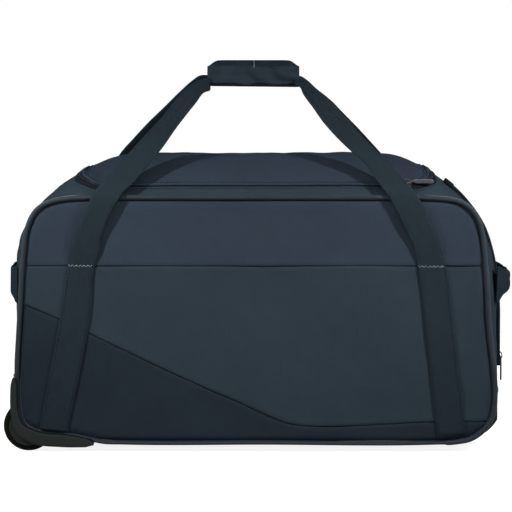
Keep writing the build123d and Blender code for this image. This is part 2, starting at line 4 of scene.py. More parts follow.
import bpy
import numpy as np
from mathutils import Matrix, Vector
from mathutils.geometry import delaunay_2d_cdt


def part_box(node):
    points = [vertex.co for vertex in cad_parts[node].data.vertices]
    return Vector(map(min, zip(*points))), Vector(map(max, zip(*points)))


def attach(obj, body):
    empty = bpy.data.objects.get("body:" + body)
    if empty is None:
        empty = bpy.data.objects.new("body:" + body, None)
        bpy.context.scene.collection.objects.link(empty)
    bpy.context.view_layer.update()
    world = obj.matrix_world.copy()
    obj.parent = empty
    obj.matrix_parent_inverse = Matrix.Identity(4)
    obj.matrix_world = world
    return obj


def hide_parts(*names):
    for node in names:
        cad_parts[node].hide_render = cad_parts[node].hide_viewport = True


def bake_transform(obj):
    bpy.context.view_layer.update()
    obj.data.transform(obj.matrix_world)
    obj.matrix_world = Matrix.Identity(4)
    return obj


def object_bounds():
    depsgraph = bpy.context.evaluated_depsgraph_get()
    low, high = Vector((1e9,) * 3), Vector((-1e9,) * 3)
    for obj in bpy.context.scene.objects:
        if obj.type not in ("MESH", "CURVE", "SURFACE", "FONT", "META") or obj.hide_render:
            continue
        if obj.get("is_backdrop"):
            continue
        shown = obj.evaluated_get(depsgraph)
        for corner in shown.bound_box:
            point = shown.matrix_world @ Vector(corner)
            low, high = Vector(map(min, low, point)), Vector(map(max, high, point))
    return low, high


# Looks for a rolling duffel bag, built round its CAD frame.
# Shapes are worked out in millimetres, and become metres when a mesh is made.
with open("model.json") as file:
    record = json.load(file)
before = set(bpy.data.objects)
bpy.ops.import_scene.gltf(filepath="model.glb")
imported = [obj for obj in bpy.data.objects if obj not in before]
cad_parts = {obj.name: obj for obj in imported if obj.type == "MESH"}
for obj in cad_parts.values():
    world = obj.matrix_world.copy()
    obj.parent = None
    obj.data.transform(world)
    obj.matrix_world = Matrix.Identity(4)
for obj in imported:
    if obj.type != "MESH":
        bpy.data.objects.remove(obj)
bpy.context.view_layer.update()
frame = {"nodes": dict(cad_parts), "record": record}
scene = bpy.context.scene
MM = 0.001

# Sizes shared with the CAD part.
HALF_DEPTH = 165.0
DOME_R, DOME_Z = 271.08, 125.92
SHOULDER_Z, CROWN_Z = 341.0, 397.0
SEAM_Z = 252.0
LID_LEFT, LID_RIGHT, LID_FRONT, LID_REAR = -245.0, 232.0, -143.0, 146.0
LID_CORNER, ZIP_WIDTH, REAR_SEAM = 34.0, 6.0, 149.0
SIDES = {"front": -1, "rear": 1}


# ------------------------------------------------------------------ materials
def new_material(name):
    """Empty node material with a Principled shader, and a helper that adds nodes to it."""
    material = bpy.data.materials.new(name)
    material.use_nodes = True
    tree = material.node_tree
    shader = tree.nodes["Principled BSDF"]

    def add(kind, inputs=(), **settings):
        node = tree.nodes.new(kind)
        for key, value in settings.items():
            setattr(node, key, value)
        for socket, value in inputs:
            if isinstance(value, bpy.types.NodeSocket):
                tree.links.new(value, node.inputs[socket])
            else:
                node.inputs[socket].default_value = value
        return node

    return material, shader, add, tree.links.new


def shade(add, source, low, high, colour, span):
    """Colour that runs between two brightnesses of one colour as source goes from low to high."""
    ramp = add("ShaderNodeMapRange", [("Value", source), ("From Min", low), ("From Max", high),
                                      ("To Min", 1 - span), ("To Max", 1 + span)])
    base = add("ShaderNodeRGB")
    base.outputs[0].default_value = (*colour, 1)
    scaled = add("ShaderNodeVectorMath", [(0, base.outputs[0]), (1, ramp.outputs[0])], operation="MULTIPLY")
    return scaled.outputs[0]


def finish(add, link, shader, source, rough, spread, height, strength, distance):
    """Roughness that wanders with source, and bump from height."""
    rough_map = add("ShaderNodeMapRange", [("Value", source), ("From Min", 0.3), ("From Max", 0.7),
                                           ("To Min", rough - spread), ("To Max", rough + spread)])
    link(rough_map.outputs[0], shader.inputs["Roughness"])
    bump = add("ShaderNodeBump", [("Height", height), ("Strength", strength), ("Distance", distance)])
    link(bump.outputs[0], shader.inputs["Normal"])


def cloth(name, colour, weave="rib", pitch=0.0011, rough=0.85, depth=0.25, streak=0.045, gloss=0.0):
    """Woven cloth. Its pattern follows the piece's own flat pattern, in metres."""
    material, shader, add, link = new_material(name)
    flat = add("ShaderNodeUVMap", uv_map="Weave").outputs[0]
    parts = add("ShaderNodeSeparateXYZ", [(0, flat)])
    turn = 2 * math.pi / pitch

    def maths(operation, *values):
        return add("ShaderNodeMath", enumerate(values), operation=operation).outputs[0]

    def threads(scale):
        stretched = add("ShaderNodeMapping", [("Vector", flat), ("Scale", scale)])
        noise = add("ShaderNodeTexNoise", [("Vector", stretched.outputs[0]), ("Scale", 1.0), ("Detail", 3.0)])
        return noise.outputs[0]

    across, along = parts.outputs[0], parts.outputs[1]
    if weave == "herringbone":
        # Slanted ribs that change direction every few millimetres across the band.
        lean = maths("MULTIPLY", maths("PINGPONG", across, 0.0064), turn)
        thread = maths("SINE", maths("ADD", maths("MULTIPLY", along, turn * 0.8), lean))
    elif weave == "plain":
        waves = [maths("SINE", maths("MULTIPLY", socket, turn)) for socket in (across, along)]
        thread = maths("MULTIPLY", *waves)
    else:
        wide, narrow = (maths("SINE", maths("MULTIPLY", socket, rate))
                        for socket, rate in ((across, turn * 0.5), (along, turn)))
        thread = maths("ADD", narrow, maths("MULTIPLY", wide, 0.35))
    both = maths("ADD", threads((55, 900, 1)), threads((800, 40, 1)))
    cloud = add("ShaderNodeTexNoise", [("Vector", flat), ("Scale", 9.0), ("Detail", 4.0)]).outputs[0]
    total = maths("ADD", maths("ADD", both, cloud), maths("MULTIPLY", thread, 0.09))
    link(shade(add, total, 1.15, 1.85, colour, streak * 2.2), shader.inputs["Base Color"])
    finish(add, link, shader, cloud, rough, 0.06, maths("ADD", thread, both), depth, 0.0003)
    shader.inputs["Specular IOR Level"].default_value = gloss
    return material


def moulded(name, colour, rough=0.5, grain=900.0, depth=0.15, spec=0.4, span=0.10):
    """Moulded plastic or rubber with a fine spark-eroded grain and faint scuffs."""
    material, shader, add, link = new_material(name)
    place = add("ShaderNodeTexCoord").outputs["Object"]
    fine = add("ShaderNodeTexNoise", [("Vector", place), ("Scale", grain), ("Detail", 2.0)])
    wide = add("ShaderNodeTexNoise", [("Vector", place), ("Scale", 22.0), ("Detail", 5.0)])
    link(shade(add, wide.outputs[0], 0.3, 0.7, colour, span), shader.inputs["Base Color"])
    finish(add, link, shader, wide.outputs[0], rough, 0.08, fine.outputs[0], depth, 0.0002)
    shader.inputs["Specular IOR Level"].default_value = spec
    return material


def metal(name, colour, rough, stretch=(4, 900, 900), metallic=1.0):
    """Metal with a brushed or enamelled finish."""
    material, shader, add, link = new_material(name)
    place = add("ShaderNodeTexCoord").outputs["Object"]
    drawn = add("ShaderNodeMapping", [("Vector", place), ("Scale", stretch)])
    lines = add("ShaderNodeTexNoise", [("Vector", drawn.outputs[0]), ("Scale", 1.0), ("Detail", 4.0)])
    link(shade(add, lines.outputs[0], 0.3, 0.7, colour, 0.08), shader.inputs["Base Color"])
    finish(add, link, shader, lines.outputs[0], rough, 0.06, lines.outputs[0], 0.08, 0.0001)
    shader.inputs["Metallic"].default_value = metallic
    return material


LOOK_TABLE = [
    (cloth, "fabric_light", (0.0118, 0.0163, 0.0228), {}),
    (cloth, "fabric_body", (0.0106, 0.0157, 0.0204), {}),
    (cloth, "fabric_corner", (0.0070, 0.0100, 0.0134),
     {"weave": "plain", "pitch": 0.0007, "depth": 0.12, "rough": 0.7, "streak": 0.06}),
    (cloth, "webbing", (0.0077, 0.0114, 0.0146),
     {"weave": "herringbone", "pitch": 0.0022, "depth": 0.6, "streak": 0.06}),
    (cloth, "binding", (0.0085, 0.0120, 0.0160), {"pitch": 0.0014, "rough": 0.5, "streak": 0.04, "gloss": 0.06}),
    (cloth, "grip_cloth", (0.0086, 0.0128, 0.0176),
     {"weave": "plain", "pitch": 0.0009, "depth": 0.15, "streak": 0.05, "gloss": 0.03, "rough": 0.7}),
    (cloth, "lining", (0.020, 0.022, 0.025), {"weave": "plain", "pitch": 0.0006, "depth": 0.1, "streak": 0.05}),
    (cloth, "zip_tape", (0.0042, 0.0056, 0.0078), {"pitch": 0.0012, "streak": 0.06}),
    (cloth, "thread", (0.085, 0.105, 0.112), {"pitch": 0.0006, "streak": 0.05}),
    (moulded, "zip_coil", (0.0055, 0.0065, 0.0095), {"rough": 0.4, "grain": 400.0, "spec": 0.03}),
    (moulded, "housing_plastic", (0.0092, 0.0109, 0.0100), {"rough": 0.52, "spec": 0.015}),
    (moulded, "grip_plastic", (0.010, 0.011, 0.012), {"rough": 0.4, "spec": 0.05}),
    (moulded, "tyre", (0.0032, 0.0033, 0.0024), {"rough": 0.7, "grain": 500.0, "spec": 0.01}),
    (moulded, "board", (0.030, 0.030, 0.032), {"rough": 0.6, "grain": 300.0}),
    (metal, "zip_metal", (0.016, 0.0155, 0.022), {"rough": 0.42, "stretch": (60, 60, 60), "metallic": 0.35}),
    (metal, "tube_metal", (0.42, 0.43, 0.45), {"rough": 0.28, "stretch": (4, 1200, 1200)}),
    (metal, "steel", (0.50, 0.50, 0.51), {"rough": 0.25, "stretch": (200, 200, 200)}),
]
LOOKS = {name: maker(name, colour, **settings) for maker, name, colour, settings in LOOK_TABLE}
for sub in frame["record"]["subparts"]:
    node = frame["nodes"][sub["node"]]
    node.data.materials.clear()
    node.data.materials.append(LOOKS[sub["material_slot"]])


# ------------------------------------------------------------------ mesh tools
def mesh_piece(name, points, faces, looks, flat=None, look_of_face=None):
    """New object from millimetre points. flat is the piece's flat pattern, for the weave."""
    mesh = bpy.data.meshes.new(name)
    mesh.from_pydata((np.asarray(points, float) * MM).tolist(), [], [list(map(int, f)) for f in faces])
    for look in looks:
        mesh.materials.append(LOOKS[look])
    mesh.polygons.foreach_set("use_smooth", [True] * len(mesh.polygons))
    if look_of_face is not None:
        mesh.polygons.foreach_set("material_index", np.asarray(look_of_face, np.int32))
    if flat is not None:
        corner = np.empty(len(mesh.loops), np.int32)
        mesh.loops.foreach_get("vertex_index", corner)
        layer = mesh.uv_layers.new(name="Weave")
        layer.data.foreach_set("uv", (np.asarray(flat, float) * MM)[corner].ravel())
    mesh.update()
    piece = bpy.data.objects.new(name, mesh)
    scene.collection.objects.link(piece)
    return piece


def fit(piece, body, slot, *nodes):
    """Fixes a piece to its body, and hides the CAD nodes it stands for. slot is not used."""
    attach(piece, body)
    if nodes:
        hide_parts(*nodes)


def grid_faces(rows, cols, close_rows=False, close_cols=False):
    """Quads of a grid whose points are stored row by row."""
    faces = []
    for r in range(rows if close_rows else rows - 1):
        for c in range(cols if close_cols else cols - 1):
            r2, c2 = (r + 1) % rows, (c + 1) % cols
            faces.append((r * cols + c, r * cols + c2, r2 * cols + c2, r2 * cols + c))
    return faces


class Pile:
    """Points, faces and flat pattern of several parts that make one mesh."""

    def __init__(self):
        self.points, self.faces, self.flat = [], [], []

    def add(self, points, faces, flat=None):
        start = len(self.points)
        self.points.extend(np.asarray(points, float).tolist())
        self.faces.extend([[start + i for i in face] for face in faces])
        pattern = np.asarray(points, float)[:, [0, 2]] if flat is None else flat
        self.flat.extend(np.asarray(pattern, float).tolist())

    def piece(self, name, look):
        return mesh_piece(name, self.points, self.faces, [look], self.flat)


def run_length(line):
    """Distance along a line at each of its points."""
    return np.concatenate([[0], np.cumsum(np.linalg.norm(np.diff(line, axis=0), axis=1))])


def even(points, step):
    """The same line with points about a step apart."""
    points = np.asarray(points, float)
    at = run_length(points)
    count = max(2, int(round(at[-1] / step)) + 1)
    want = np.linspace(0, at[-1], count)
    return np.stack([np.interp(want, at, column) for column in points.T], axis=1)


def stack(*columns):
    """Points from their coordinates, any of which may be a single number."""
    return np.column_stack(np.broadcast_arrays(*columns)).astype(float)


def hermite(at, values, want):
    """Smooth curve through values given at increasing places, read at the wanted places."""
    at, values, want = np.asarray(at, float), np.asarray(values, float), np.asarray(want, float)
    slope = np.gradient(values, at, axis=0)
    i = np.clip(np.searchsorted(at, want, side="right") - 1, 0, len(at) - 2)
    span = (at[i + 1] - at[i])[:, None]
    t = (want - at[i])[:, None] / span
    return (
        (2 * t**3 - 3 * t**2 + 1) * values[i]
        + (t**3 - 2 * t**2 + t) * span * slope[i]
        + (3 * t**2 - 2 * t**3) * values[i + 1]
        + (t**3 - t**2) * span * slope[i + 1]
    )


def smooth_line(points, step, closed=False):
    """Evenly spaced points on a smooth line through the given ones."""
    points = np.asarray(points, float)
    count = len(points)
    if closed:
        points = np.vstack([points[-3:], points, points[:4]])
    at = run_length(points)
    first, last = (at[3], at[3 + count]) if closed else (at[0], at[-1])
    line = even(hermite(at, points, np.linspace(first, last, count * 24)), step)
    return line[:-1] if closed else line


def unit(vectors):
    return vectors / np.maximum(np.linalg.norm(vectors, axis=-1, keepdims=True), 1e-9)


def tube(pile, line, radius, sides=10, closed=False, up=(0.0, 0.0, 1.0)):
    """Round bar along a line. radius may be one number or one for each point."""
    line = np.asarray(line, float)
    count = len(line)
    radius = np.broadcast_to(np.asarray(radius, float), (count,))
    if closed:
        along = unit(np.roll(line, -1, axis=0) - np.roll(line, 1, axis=0))
    else:
        along = unit(np.gradient(line, axis=0))
    side = unit(np.cross(along, np.asarray(up, float)))
    top = np.cross(side, along)
    turn = np.linspace(0, 2 * math.pi, sides, endpoint=False)
    ring = (
        line[:, None]
        + radius[:, None, None] * np.cos(turn)[None, :, None] * side[:, None]
        + radius[:, None, None] * np.sin(turn)[None, :, None] * top[:, None]
    )
    length = run_length(line)
    flat = np.stack(np.broadcast_arrays(turn[None] * radius.mean(), length[:, None]), axis=-1).reshape(-1, 2)
    faces = grid_faces(count, sides, close_rows=closed, close_cols=True)
    if not closed:
        faces.append(list(range(sides))[::-1])
        faces.append([(count - 1) * sides + k for k in range(sides)])
    pile.add(ring.reshape(-1, 3), faces, flat)


def toothed(pile, line, wide, narrow, **settings):
    """Zip coil: a bar whose thickness changes from point to point."""
    tube(pile, line, np.where(np.arange(len(line)) % 2, wide, narrow), **settings)


def ribbon(pile, edge_a, edge_b, thick, across=9, lift=None):
    """Flat band between two edge lines with rounded edges. lift moves its middle out by a profile."""
    edge_a, edge_b = np.asarray(edge_a, float), np.asarray(edge_b, float)
    count = len(edge_a)
    middle = (edge_a + edge_b) / 2
    along = unit(np.gradient(middle, axis=0))
    over = edge_b - edge_a
    out = unit(np.cross(over, along))
    share = (1 - np.cos(np.linspace(0, math.pi, across))) / 2
    edge = np.sqrt(np.maximum(0.0, 1 - np.abs(2 * share - 1) ** 8)) * 0.75 + 0.25
    base = edge_a[:, None] + share[None, :, None] * over[:, None]
    if lift is not None:
        base = base + out[:, None] * np.asarray(lift)[..., None]
    upper = base + out[:, None] * (thick / 2 * edge)[None, :, None]
    lower = base - out[:, None] * (thick / 2 * edge)[None, :, None]
    ring = np.concatenate([upper, lower[:, ::-1]], axis=1)
    wide = np.linalg.norm(over, axis=1).mean()
    run = run_length(middle)
    u = np.concatenate([share * wide, share[::-1] * wide])
    flat = np.stack(np.broadcast_arrays(u[None], run[:, None]), axis=-1).reshape(-1, 2)
    sides = 2 * across
    faces = [f[::-1] for f in grid_faces(count, sides, close_cols=True)]
    faces.append(list(range(sides)))
    faces.append([(count - 1) * sides + k for k in range(sides)][::-1])
    pile.add(ring.reshape(-1, 3), faces, flat)


def stitches(pile, line, out, length=3.2, pitch=4.6, radius=0.42, zigzag=0.0):
    """Row of separate thread stitches along a line, standing on a surface whose outward direction is out."""
    fine = even(line, 0.5)
    out = unit(np.asarray(out, float))
    total = len(fine)
    for number in range(int(total * 0.5 / pitch)):
        low = int(number * pitch / 0.5)
        high = min(low + int(length / 0.5), total - 1)
        if high - low < 2:
            continue
        run = fine[[low, (low + high) // 2, high]].copy()
        side = unit(np.cross(run[2] - run[0], out))
        lean = zigzag * (1 if number % 2 else -1)
        run[0] += side * lean
        run[2] -= side * lean
        run += out * np.array([[-0.15], [0.3], [-0.15]])
        tube(pile, run, [radius * 0.6, radius, radius * 0.6], sides=5, up=out)


def one_part(name, look, make, *values, **settings):
    """Piece made of a single tube, ribbon, coil or row of stitches."""
    pile = Pile()
    make(pile, *values, **settings)
    return pile.piece(name, look)


def hump(at, place, width):
    """Soft bump of height 1 round a place, for hems, grooves and swellings."""
    return np.exp(-(((at - place) / width) ** 2))


def rumple(points, size, seed):
    """Smooth, repeatable noise between about -1 and 1 over points, with waves about size long."""
    waves = np.random.default_rng(seed)
    points = np.asarray(points, float)
    total = np.zeros(len(points))
    for _ in range(14):
        direction = unit(waves.normal(size=points.shape[1]))
        rate = 2 * math.pi / (size * waves.uniform(0.6, 1.7))
        total += np.sin(points @ direction * rate + waves.uniform(0, 2 * math.pi))
    return total / 3.8


def distance_to(points, line, closed=True):
    """Distance from each 2-D point to a line."""
    line = np.asarray(line, float)
    ends = np.roll(line, -1, axis=0) if closed else line[1:]
    starts = line if closed else line[:-1]
    span = ends - starts
    squared = np.maximum((span**2).sum(1), 1e-9)
    best = np.full(len(points), 1e9)
    for block in range(0, len(points), 2000):
        part = points[block:block + 2000]
        t = np.clip(((part[:, None] - starts) * span).sum(2) / squared, 0, 1)
        gap = np.linalg.norm(part[:, None] - (starts + t[..., None] * span), axis=2)
        best[block:block + 2000] = gap.min(1)
    return best


def inside(points, loop):
    """Which 2-D points lie inside a closed loop."""
    x, y = points[:, 0][:, None], points[:, 1][:, None]
    a, b = loop, np.roll(loop, -1, axis=0)
    crosses = (a[:, 1] > y) != (b[:, 1] > y)
    with np.errstate(divide="ignore", invalid="ignore"):
        at = (b[:, 0] - a[:, 0]) * (y - a[:, 1]) / (b[:, 1] - a[:, 1]) + a[:, 0]
    return (crosses & (x < at)).sum(1) % 2 == 1


def within(points, loops):
    """Which 2-D points lie inside the first loop and outside the others."""
    good = inside(points, loops[0])
    for hole in loops[1:]:
        good &= ~inside(points, hole)
    return good


def sheet_mesh(outline, holes, spacing, edge_steps=(1.2, 2.8, 4.8)):
    """Triangles over a 2-D region, fine along its edges. Returns points, faces and edge distance."""
    loops = [np.asarray(outline, float)] + [np.asarray(h, float) for h in holes]
    extra = []
    for loop in loops:
        around = unit(np.roll(loop, -1, axis=0) - np.roll(loop, 1, axis=0))
        normal = np.stack([-around[:, 1], around[:, 0]], axis=1)
        for step in edge_steps:
            extra += [loop + normal * step, loop - normal * step]
    low, high = loops[0].min(0), loops[0].max(0)
    gx, gy = np.meshgrid(np.arange(low[0], high[0], spacing), np.arange(low[1], high[1], spacing * 0.866))
    gx = gx + (np.arange(len(gy)) % 2)[:, None] * spacing / 2
    grid = np.stack([gx.ravel(), gy.ravel()], axis=1)

    def kept(points, clear):
        gap = np.min([distance_to(points, loop) for loop in loops], axis=0)
        return points[within(points, loops) & (gap > clear)]

    rings = [kept(ring, edge_steps[i // 2 % len(edge_steps)] * 0.93) for i, ring in enumerate(extra)]
    fill = kept(grid, edge_steps[-1] + spacing * 0.45)
    corners = np.vstack(loops + rings + [fill])
    edges, start = [], 0
    for loop in loops:
        edges += [(start + i, start + (i + 1) % len(loop)) for i in range(len(loop))]
        start += len(loop)
    made = delaunay_2d_cdt([Vector(p) for p in corners.tolist()], edges, [], 0, 1e-4)
    points = np.array([list(p) for p in made[0]])
    faces = np.array([list(f) for f in made[2]])
    faces = faces[within(points[faces].mean(1), loops)]
    a, b, c = points[faces[:, 0]], points[faces[:, 1]], points[faces[:, 2]]
    area = (b[:, 0] - a[:, 0]) * (c[:, 1] - a[:, 1]) - (b[:, 1] - a[:, 1]) * (c[:, 0] - a[:, 0])
    faces = np.where((area < 0)[:, None], faces[:, ::-1], faces)[np.abs(area) > 1e-4]
    used = np.unique(faces)
    renumber = np.full(len(points), -1)
    renumber[used] = np.arange(len(used))
    points, faces = points[used], renumber[faces]
    gap = np.min([distance_to(points, loop) for loop in loops], axis=0)
    return points, faces, gap


def solid(piece, thick, inner_look=None):
    """Gives a one-sided shell its real thickness, inwards, and its inner face a look of its own."""
    modifier = piece.modifiers.new("Thickness", "SOLIDIFY")
    modifier.thickness = thick * MM
    modifier.offset = -1
    modifier.use_even_offset = False
    if inner_look:
        piece.data.materials.append(LOOKS[inner_look])
        modifier.material_offset = len(piece.data.materials) - 1


def clip_corner(x, y, radius, turn_from, turn_to, steps=9):
    """Points of a rounded corner round a centre, angles in degrees."""
    angles = np.radians(np.linspace(turn_from, turn_to, steps))
    return np.stack([x + radius * np.cos(angles), y + radius * np.sin(angles)], axis=1)


# ------------------------------------------------------------------ form of the bag
# Matching points round the bag's outline, clockwise in the front view from the middle of the
# base: first at the front and rear faces, then halfway between them.
STATIONS = [
    ((0, 12.6), (0, 10.6)), ((-187, 13.2), (-187, 11)), ((-222, 16), (-222, 13)),
    ((-259, 23.2), (-262, 19)), ((-303, 29), (-305, 25.8)), ((-317, 38), (-326, 33)),
    ((-322.5, 54), (-335.5, 50)), ((-324, 75), (-337.5, 72)), ((-324, 98), (-338, 98)),
    ((-322.5, 124), (-338, 124)), ((-320.5, 156), (-338, 156)), ((-318.5, 188), (-338, 190)),
    ((-317.5, 215), (-338, 225)), ((-316, 250), (-337, 262)), ((-313.5, 280), (-328.1, 295)),
    ((-308, 304), (-309.3, 321.7)), ((-297, 322), (-282.7, 347.5)), ((-280, 334), (-257, 365.9)),
    ((-257, 340), (-238.2, 376.4)), ((-225, 341.5), (-213, 387)), ((-185, 342), (-181.5, 394.5)),
    ((-140, 342), (-145, 397)), ((0, 342), (0, 397.5)), ((150, 342), (155, 397)),
    ((190, 342), (186.6, 393.7)), ((222, 341), (213, 384)), ((246, 338.5), (239.5, 369.6)),
    ((266, 332), (264.5, 351)), ((281, 319), (289, 324.6)), ((290, 302), (307.2, 297)),
    ((295.5, 277), (319, 264)), ((299, 248), (325.4, 233)), ((301.5, 225), (327.8, 209)),
    ((303, 200), (329.5, 180)), ((304.5, 178), (329.5, 155)), ((307, 150), (329.5, 130)),
    ((310.5, 124), (329.5, 108)), ((312.5, 98), (329.5, 88)), ((312.5, 73), (329.5, 72)),
    ((311, 54), (328.5, 49)), ((304, 36.5), (323, 31)), ((286, 21), (307, 17)),
    ((262, 14.5), (281, 11.5)), ((234, 12.8), (250, 10.8)), ((190, 12.8), (190, 10.6)),
    ((0, 12.6), (0, 10.6)),
]
rim_points = np.array([s[0] for s in STATIONS], float)
mid_points = np.array([s[1] for s in STATIONS], float)
station_at = run_length(mid_points)
ROUND = station_at[-1]
table_at = np.linspace(0, ROUND, 1900)
rim_table = hermite(station_at, rim_points, table_at)
mid_table = hermite(station_at, mid_points, table_at)


def bulge(y):
    """0 at the front and rear faces, 1 halfway: how far the section has swollen there."""
    y = np.clip(np.abs(y), 0, HALF_DEPTH)
    return (DOME_Z + np.sqrt(DOME_R**2 - y**2) - SHOULDER_Z) / (CROWN_Z - SHOULDER_Z)


def form(u, y):
    """Outer surface of the bag at distance u round its outline and depth y."""
    u, y = np.broadcast_arrays(np.asarray(u, float), np.asarray(y, float))
    swell = bulge(y)
    rim = [np.interp(u, table_at, rim_table[:, k]) for k in (0, 1)]
    mid = [np.interp(u, table_at, mid_table[:, k]) for k in (0, 1)]
    x = rim[0] + swell * (mid[0] - rim[0])
    z = rim[1] + swell * (mid[1] - rim[1])
    return np.stack([x, y, z], axis=-1)


U_TOP = (float(station_at[14]), float(station_at[31]))
U_HANDLE_END = (station_at[28], station_at[37])
U_CUP_TOP = (station_at[35], station_at[41])
U_CUP_BASE = (station_at[40], station_at[44])


def u_where(value, y, axis, low, high, rising):
    """Distance round the outline at which a coordinate has a value, at one depth."""
    us = np.linspace(low, high, 900)
    found = form(us, np.full(900, y))[:, axis]
    order = slice(None) if rising else slice(None, None, -1)
    return float(np.interp(value, found[order], us[order]))


def cup_top(z, y):
    """Where a height is reached on the handle end, at the top of the tow cup's opening."""
    return u_where(z, y, 2, *U_CUP_TOP, False)


def cup_base(x, y):
    """Where an x is reached on the base, at the inner edge of the tow cup's opening."""
    return u_where(x, y, 0, *U_CUP_BASE, False)


top_us = np.linspace(*U_TOP, 500)


def top_u(x, y):
    """Distance round the outline of points on the top, from their plan."""
    x, y = np.broadcast_arrays(np.asarray(x, float), np.asarray(y, float))
    result = np.empty(x.shape)
    swell = bulge(y)
    rim = np.interp(top_us, table_at, rim_table[:, 0])
    mid = np.interp(top_us, table_at, mid_table[:, 0])
    for i in range(x.size):
        result.flat[i] = np.interp(x.flat[i], rim + swell.flat[i] * (mid - rim), top_us)
    return result


def top_z(x, y):
    return form(top_u(x, y), y)[..., 2]


def corner_ease(plan):
    """0 at the lid's front corners, rising to 1 along the straight front run."""
    inwards = np.minimum(plan[:, 0] - LID_LEFT, LID_RIGHT - plan[:, 0])
    return np.clip((inwards - 24) / 55, 0, 1)


def short_of_rear(plan, gap):
    """The part of a plan round the lid that stops a little before the hinge."""
    return plan[plan[:, 1] < LID_REAR - gap]


def zip_plan(grow, closed_grow=None):
    """Plan of the lid's three zipped sides, grown outwards, from the rear left to the rear right.

    With closed_grow, the straight front run is grown by that instead, easing in past the corners."""
    if closed_grow is not None:
        wide, narrow = zip_plan(grow), zip_plan(closed_grow)
        ease = corner_ease(wide)
        ease = (ease * ease * (3 - 2 * ease) * (wide[:, 1] < LID_FRONT + LID_CORNER))[:, None]
        return wide + (narrow - wide) * ease
    left, right, front = LID_LEFT - grow, LID_RIGHT + grow, LID_FRONT - grow
    radius = LID_CORNER + grow
    rear = REAR_SEAM
    points = [(left, y) for y in np.linspace(rear, front + radius, 60)[:-1]]
    points += clip_corner(left + radius, front + radius, radius, 180, 270, 14).tolist()
    points += [(x, front) for x in np.linspace(left + radius, right - radius, 96)[1:-1]]
    points += clip_corner(right - radius, front + radius, radius, 270, 360, 14).tolist()
    points += [(right, y) for y in np.linspace(front + radius, rear, 60)[1:]]
    return np.array(points)


def puff(x, y):
    """Height by which the zip and the lid's edge stand up round the two front corners."""
    x, y = np.asarray(x, float), np.asarray(y, float)
    left = 11.0 * np.exp(-(((x + 250) / 30) ** 2) - ((y + 122) / 58) ** 2)
    right = 8.5 * np.exp(-(((x - 232) / 28) ** 2) - ((y + 122) / 62) ** 2)
    return np.maximum(left, right)


def on_top(plan, height, share=1.0):
    """Points above the top's surface over a plan, lifted with the corners by a share of the puff."""
    z = top_z(plan[:, 0], plan[:, 1]) + height + share * puff(plan[:, 0], plan[:, 1])
    return np.column_stack([plan, z])


# Ends, base and top strips: one continuous gusset with openings for lid, wheels and tow cup.
depths = np.linspace(-HALF_DEPTH, HALF_DEPTH, 48)
rounds = np.linspace(0, ROUND, 270)
gusset_edge = np.vstack([
    stack(rounds, -HALF_DEPTH)[:-1], stack(ROUND, depths)[:-1],
    stack(rounds[::-1], HALF_DEPTH)[:-1], stack(0, depths[::-1])[:-1],
])


def opening(first, second, count):
    """Loop round an opening from two facing edges, with count points on each side that joins them."""
    def joining(a, b):
        return [(u, a[1]) for u in np.linspace(a[0], b[0], count + 2)[1:-1]]

    return np.array(first + joining(first[-1], second[-1]) + second[::-1] + joining(second[0], first[0]))


rear_xs = np.linspace(LID_RIGHT + ZIP_WIDTH, LID_LEFT - ZIP_WIDTH, 90)[1:-1]
lid_hole_plan = np.vstack([zip_plan(ZIP_WIDTH, 1.6), stack(rear_xs, REAR_SEAM)])
lid_hole = stack(top_u(*lid_hole_plan.T), lid_hole_plan[:, 1])
holes = [lid_hole]
for side in (-1, 1):
    ys = np.linspace(side * 122.5, side * 160.2, 8)
    holes.append(opening([(u_where(-230, y, 0, 60, station_at[4], False), y) for y in ys],
                         [(u_where(97, y, 2, station_at[4], station_at[10], True), y) for y in ys], 24))
ys = np.linspace(-112, 112, 36)
holes.append(opening([(cup_top(72, y), y) for y in ys], [(cup_base(264, y), y) for y in ys], 14))
flat, faces, edge_gap = sheet_mesh(gusset_edge, holes, 7.5, edge_steps=(1.5, 3.6, 6.0))
flat_u, flat_y = flat.T
points = form(flat_u, flat_y)
past_u, before_u = (np.clip(flat_u + step, 0, ROUND) for step in (0.5, -0.5))
past_y, before_y = (np.clip(flat_y + step, -HALF_DEPTH, HALF_DEPTH) for step in (0.5, -0.5))
outward = unit(np.cross(form(flat_u, past_y) - form(flat_u, before_y),
                        form(past_u, flat_y) - form(before_u, flat_y)))
middle_of_bag = np.array([-5.0, 0.0, 190.0])
if ((points - middle_of_bag) * outward).sum(1).mean() < 0:
    outward = -outward
calm = np.clip(edge_gap / 22, 0, 1) ** 1.2
on_base = np.clip((points[:, 2] - 60) / 60, 0.12, 1)
give = rumple(points, 95, 3) * 1.5 + rumple(points * [1, 0.45, 1], 34, 4) * 0.5
points = points + outward * (give * calm * on_base)[:, None]
near_zip = distance_to(flat, lid_hole)
from_seam = HALF_DEPTH - np.abs(flat_y)
points = points - outward * (2.8 * np.exp(-(((from_seam - 3.4) / 1.4) ** 2)))[:, None]
lift_by = puff(points[:, 0], points[:, 1]) * np.exp(-near_zip / 16) * 0.35
points[:, 2] += np.where(points[:, 2] > 300, lift_by, 0)
test = faces[len(faces) // 2]
normal = np.cross(points[test[1]] - points[test[0]], points[test[2]] - points[test[0]])
if normal @ outward[test[0]] < 0:
    faces = faces[:, ::-1]
look = (points[faces].mean(1)[:, 2] < 24).astype(int)
gusset = mesh_piece("gusset_shell", points, faces, ["fabric_body", "fabric_corner"],
                    flat[:, ::-1], look)
solid(gusset, 1.3, "lining")
fit(gusset, "bag", "fabric_body", "wheel_end_panel", "handle_end_panel", "base_panel", "front_top_strip",
    "rear_top_strip")

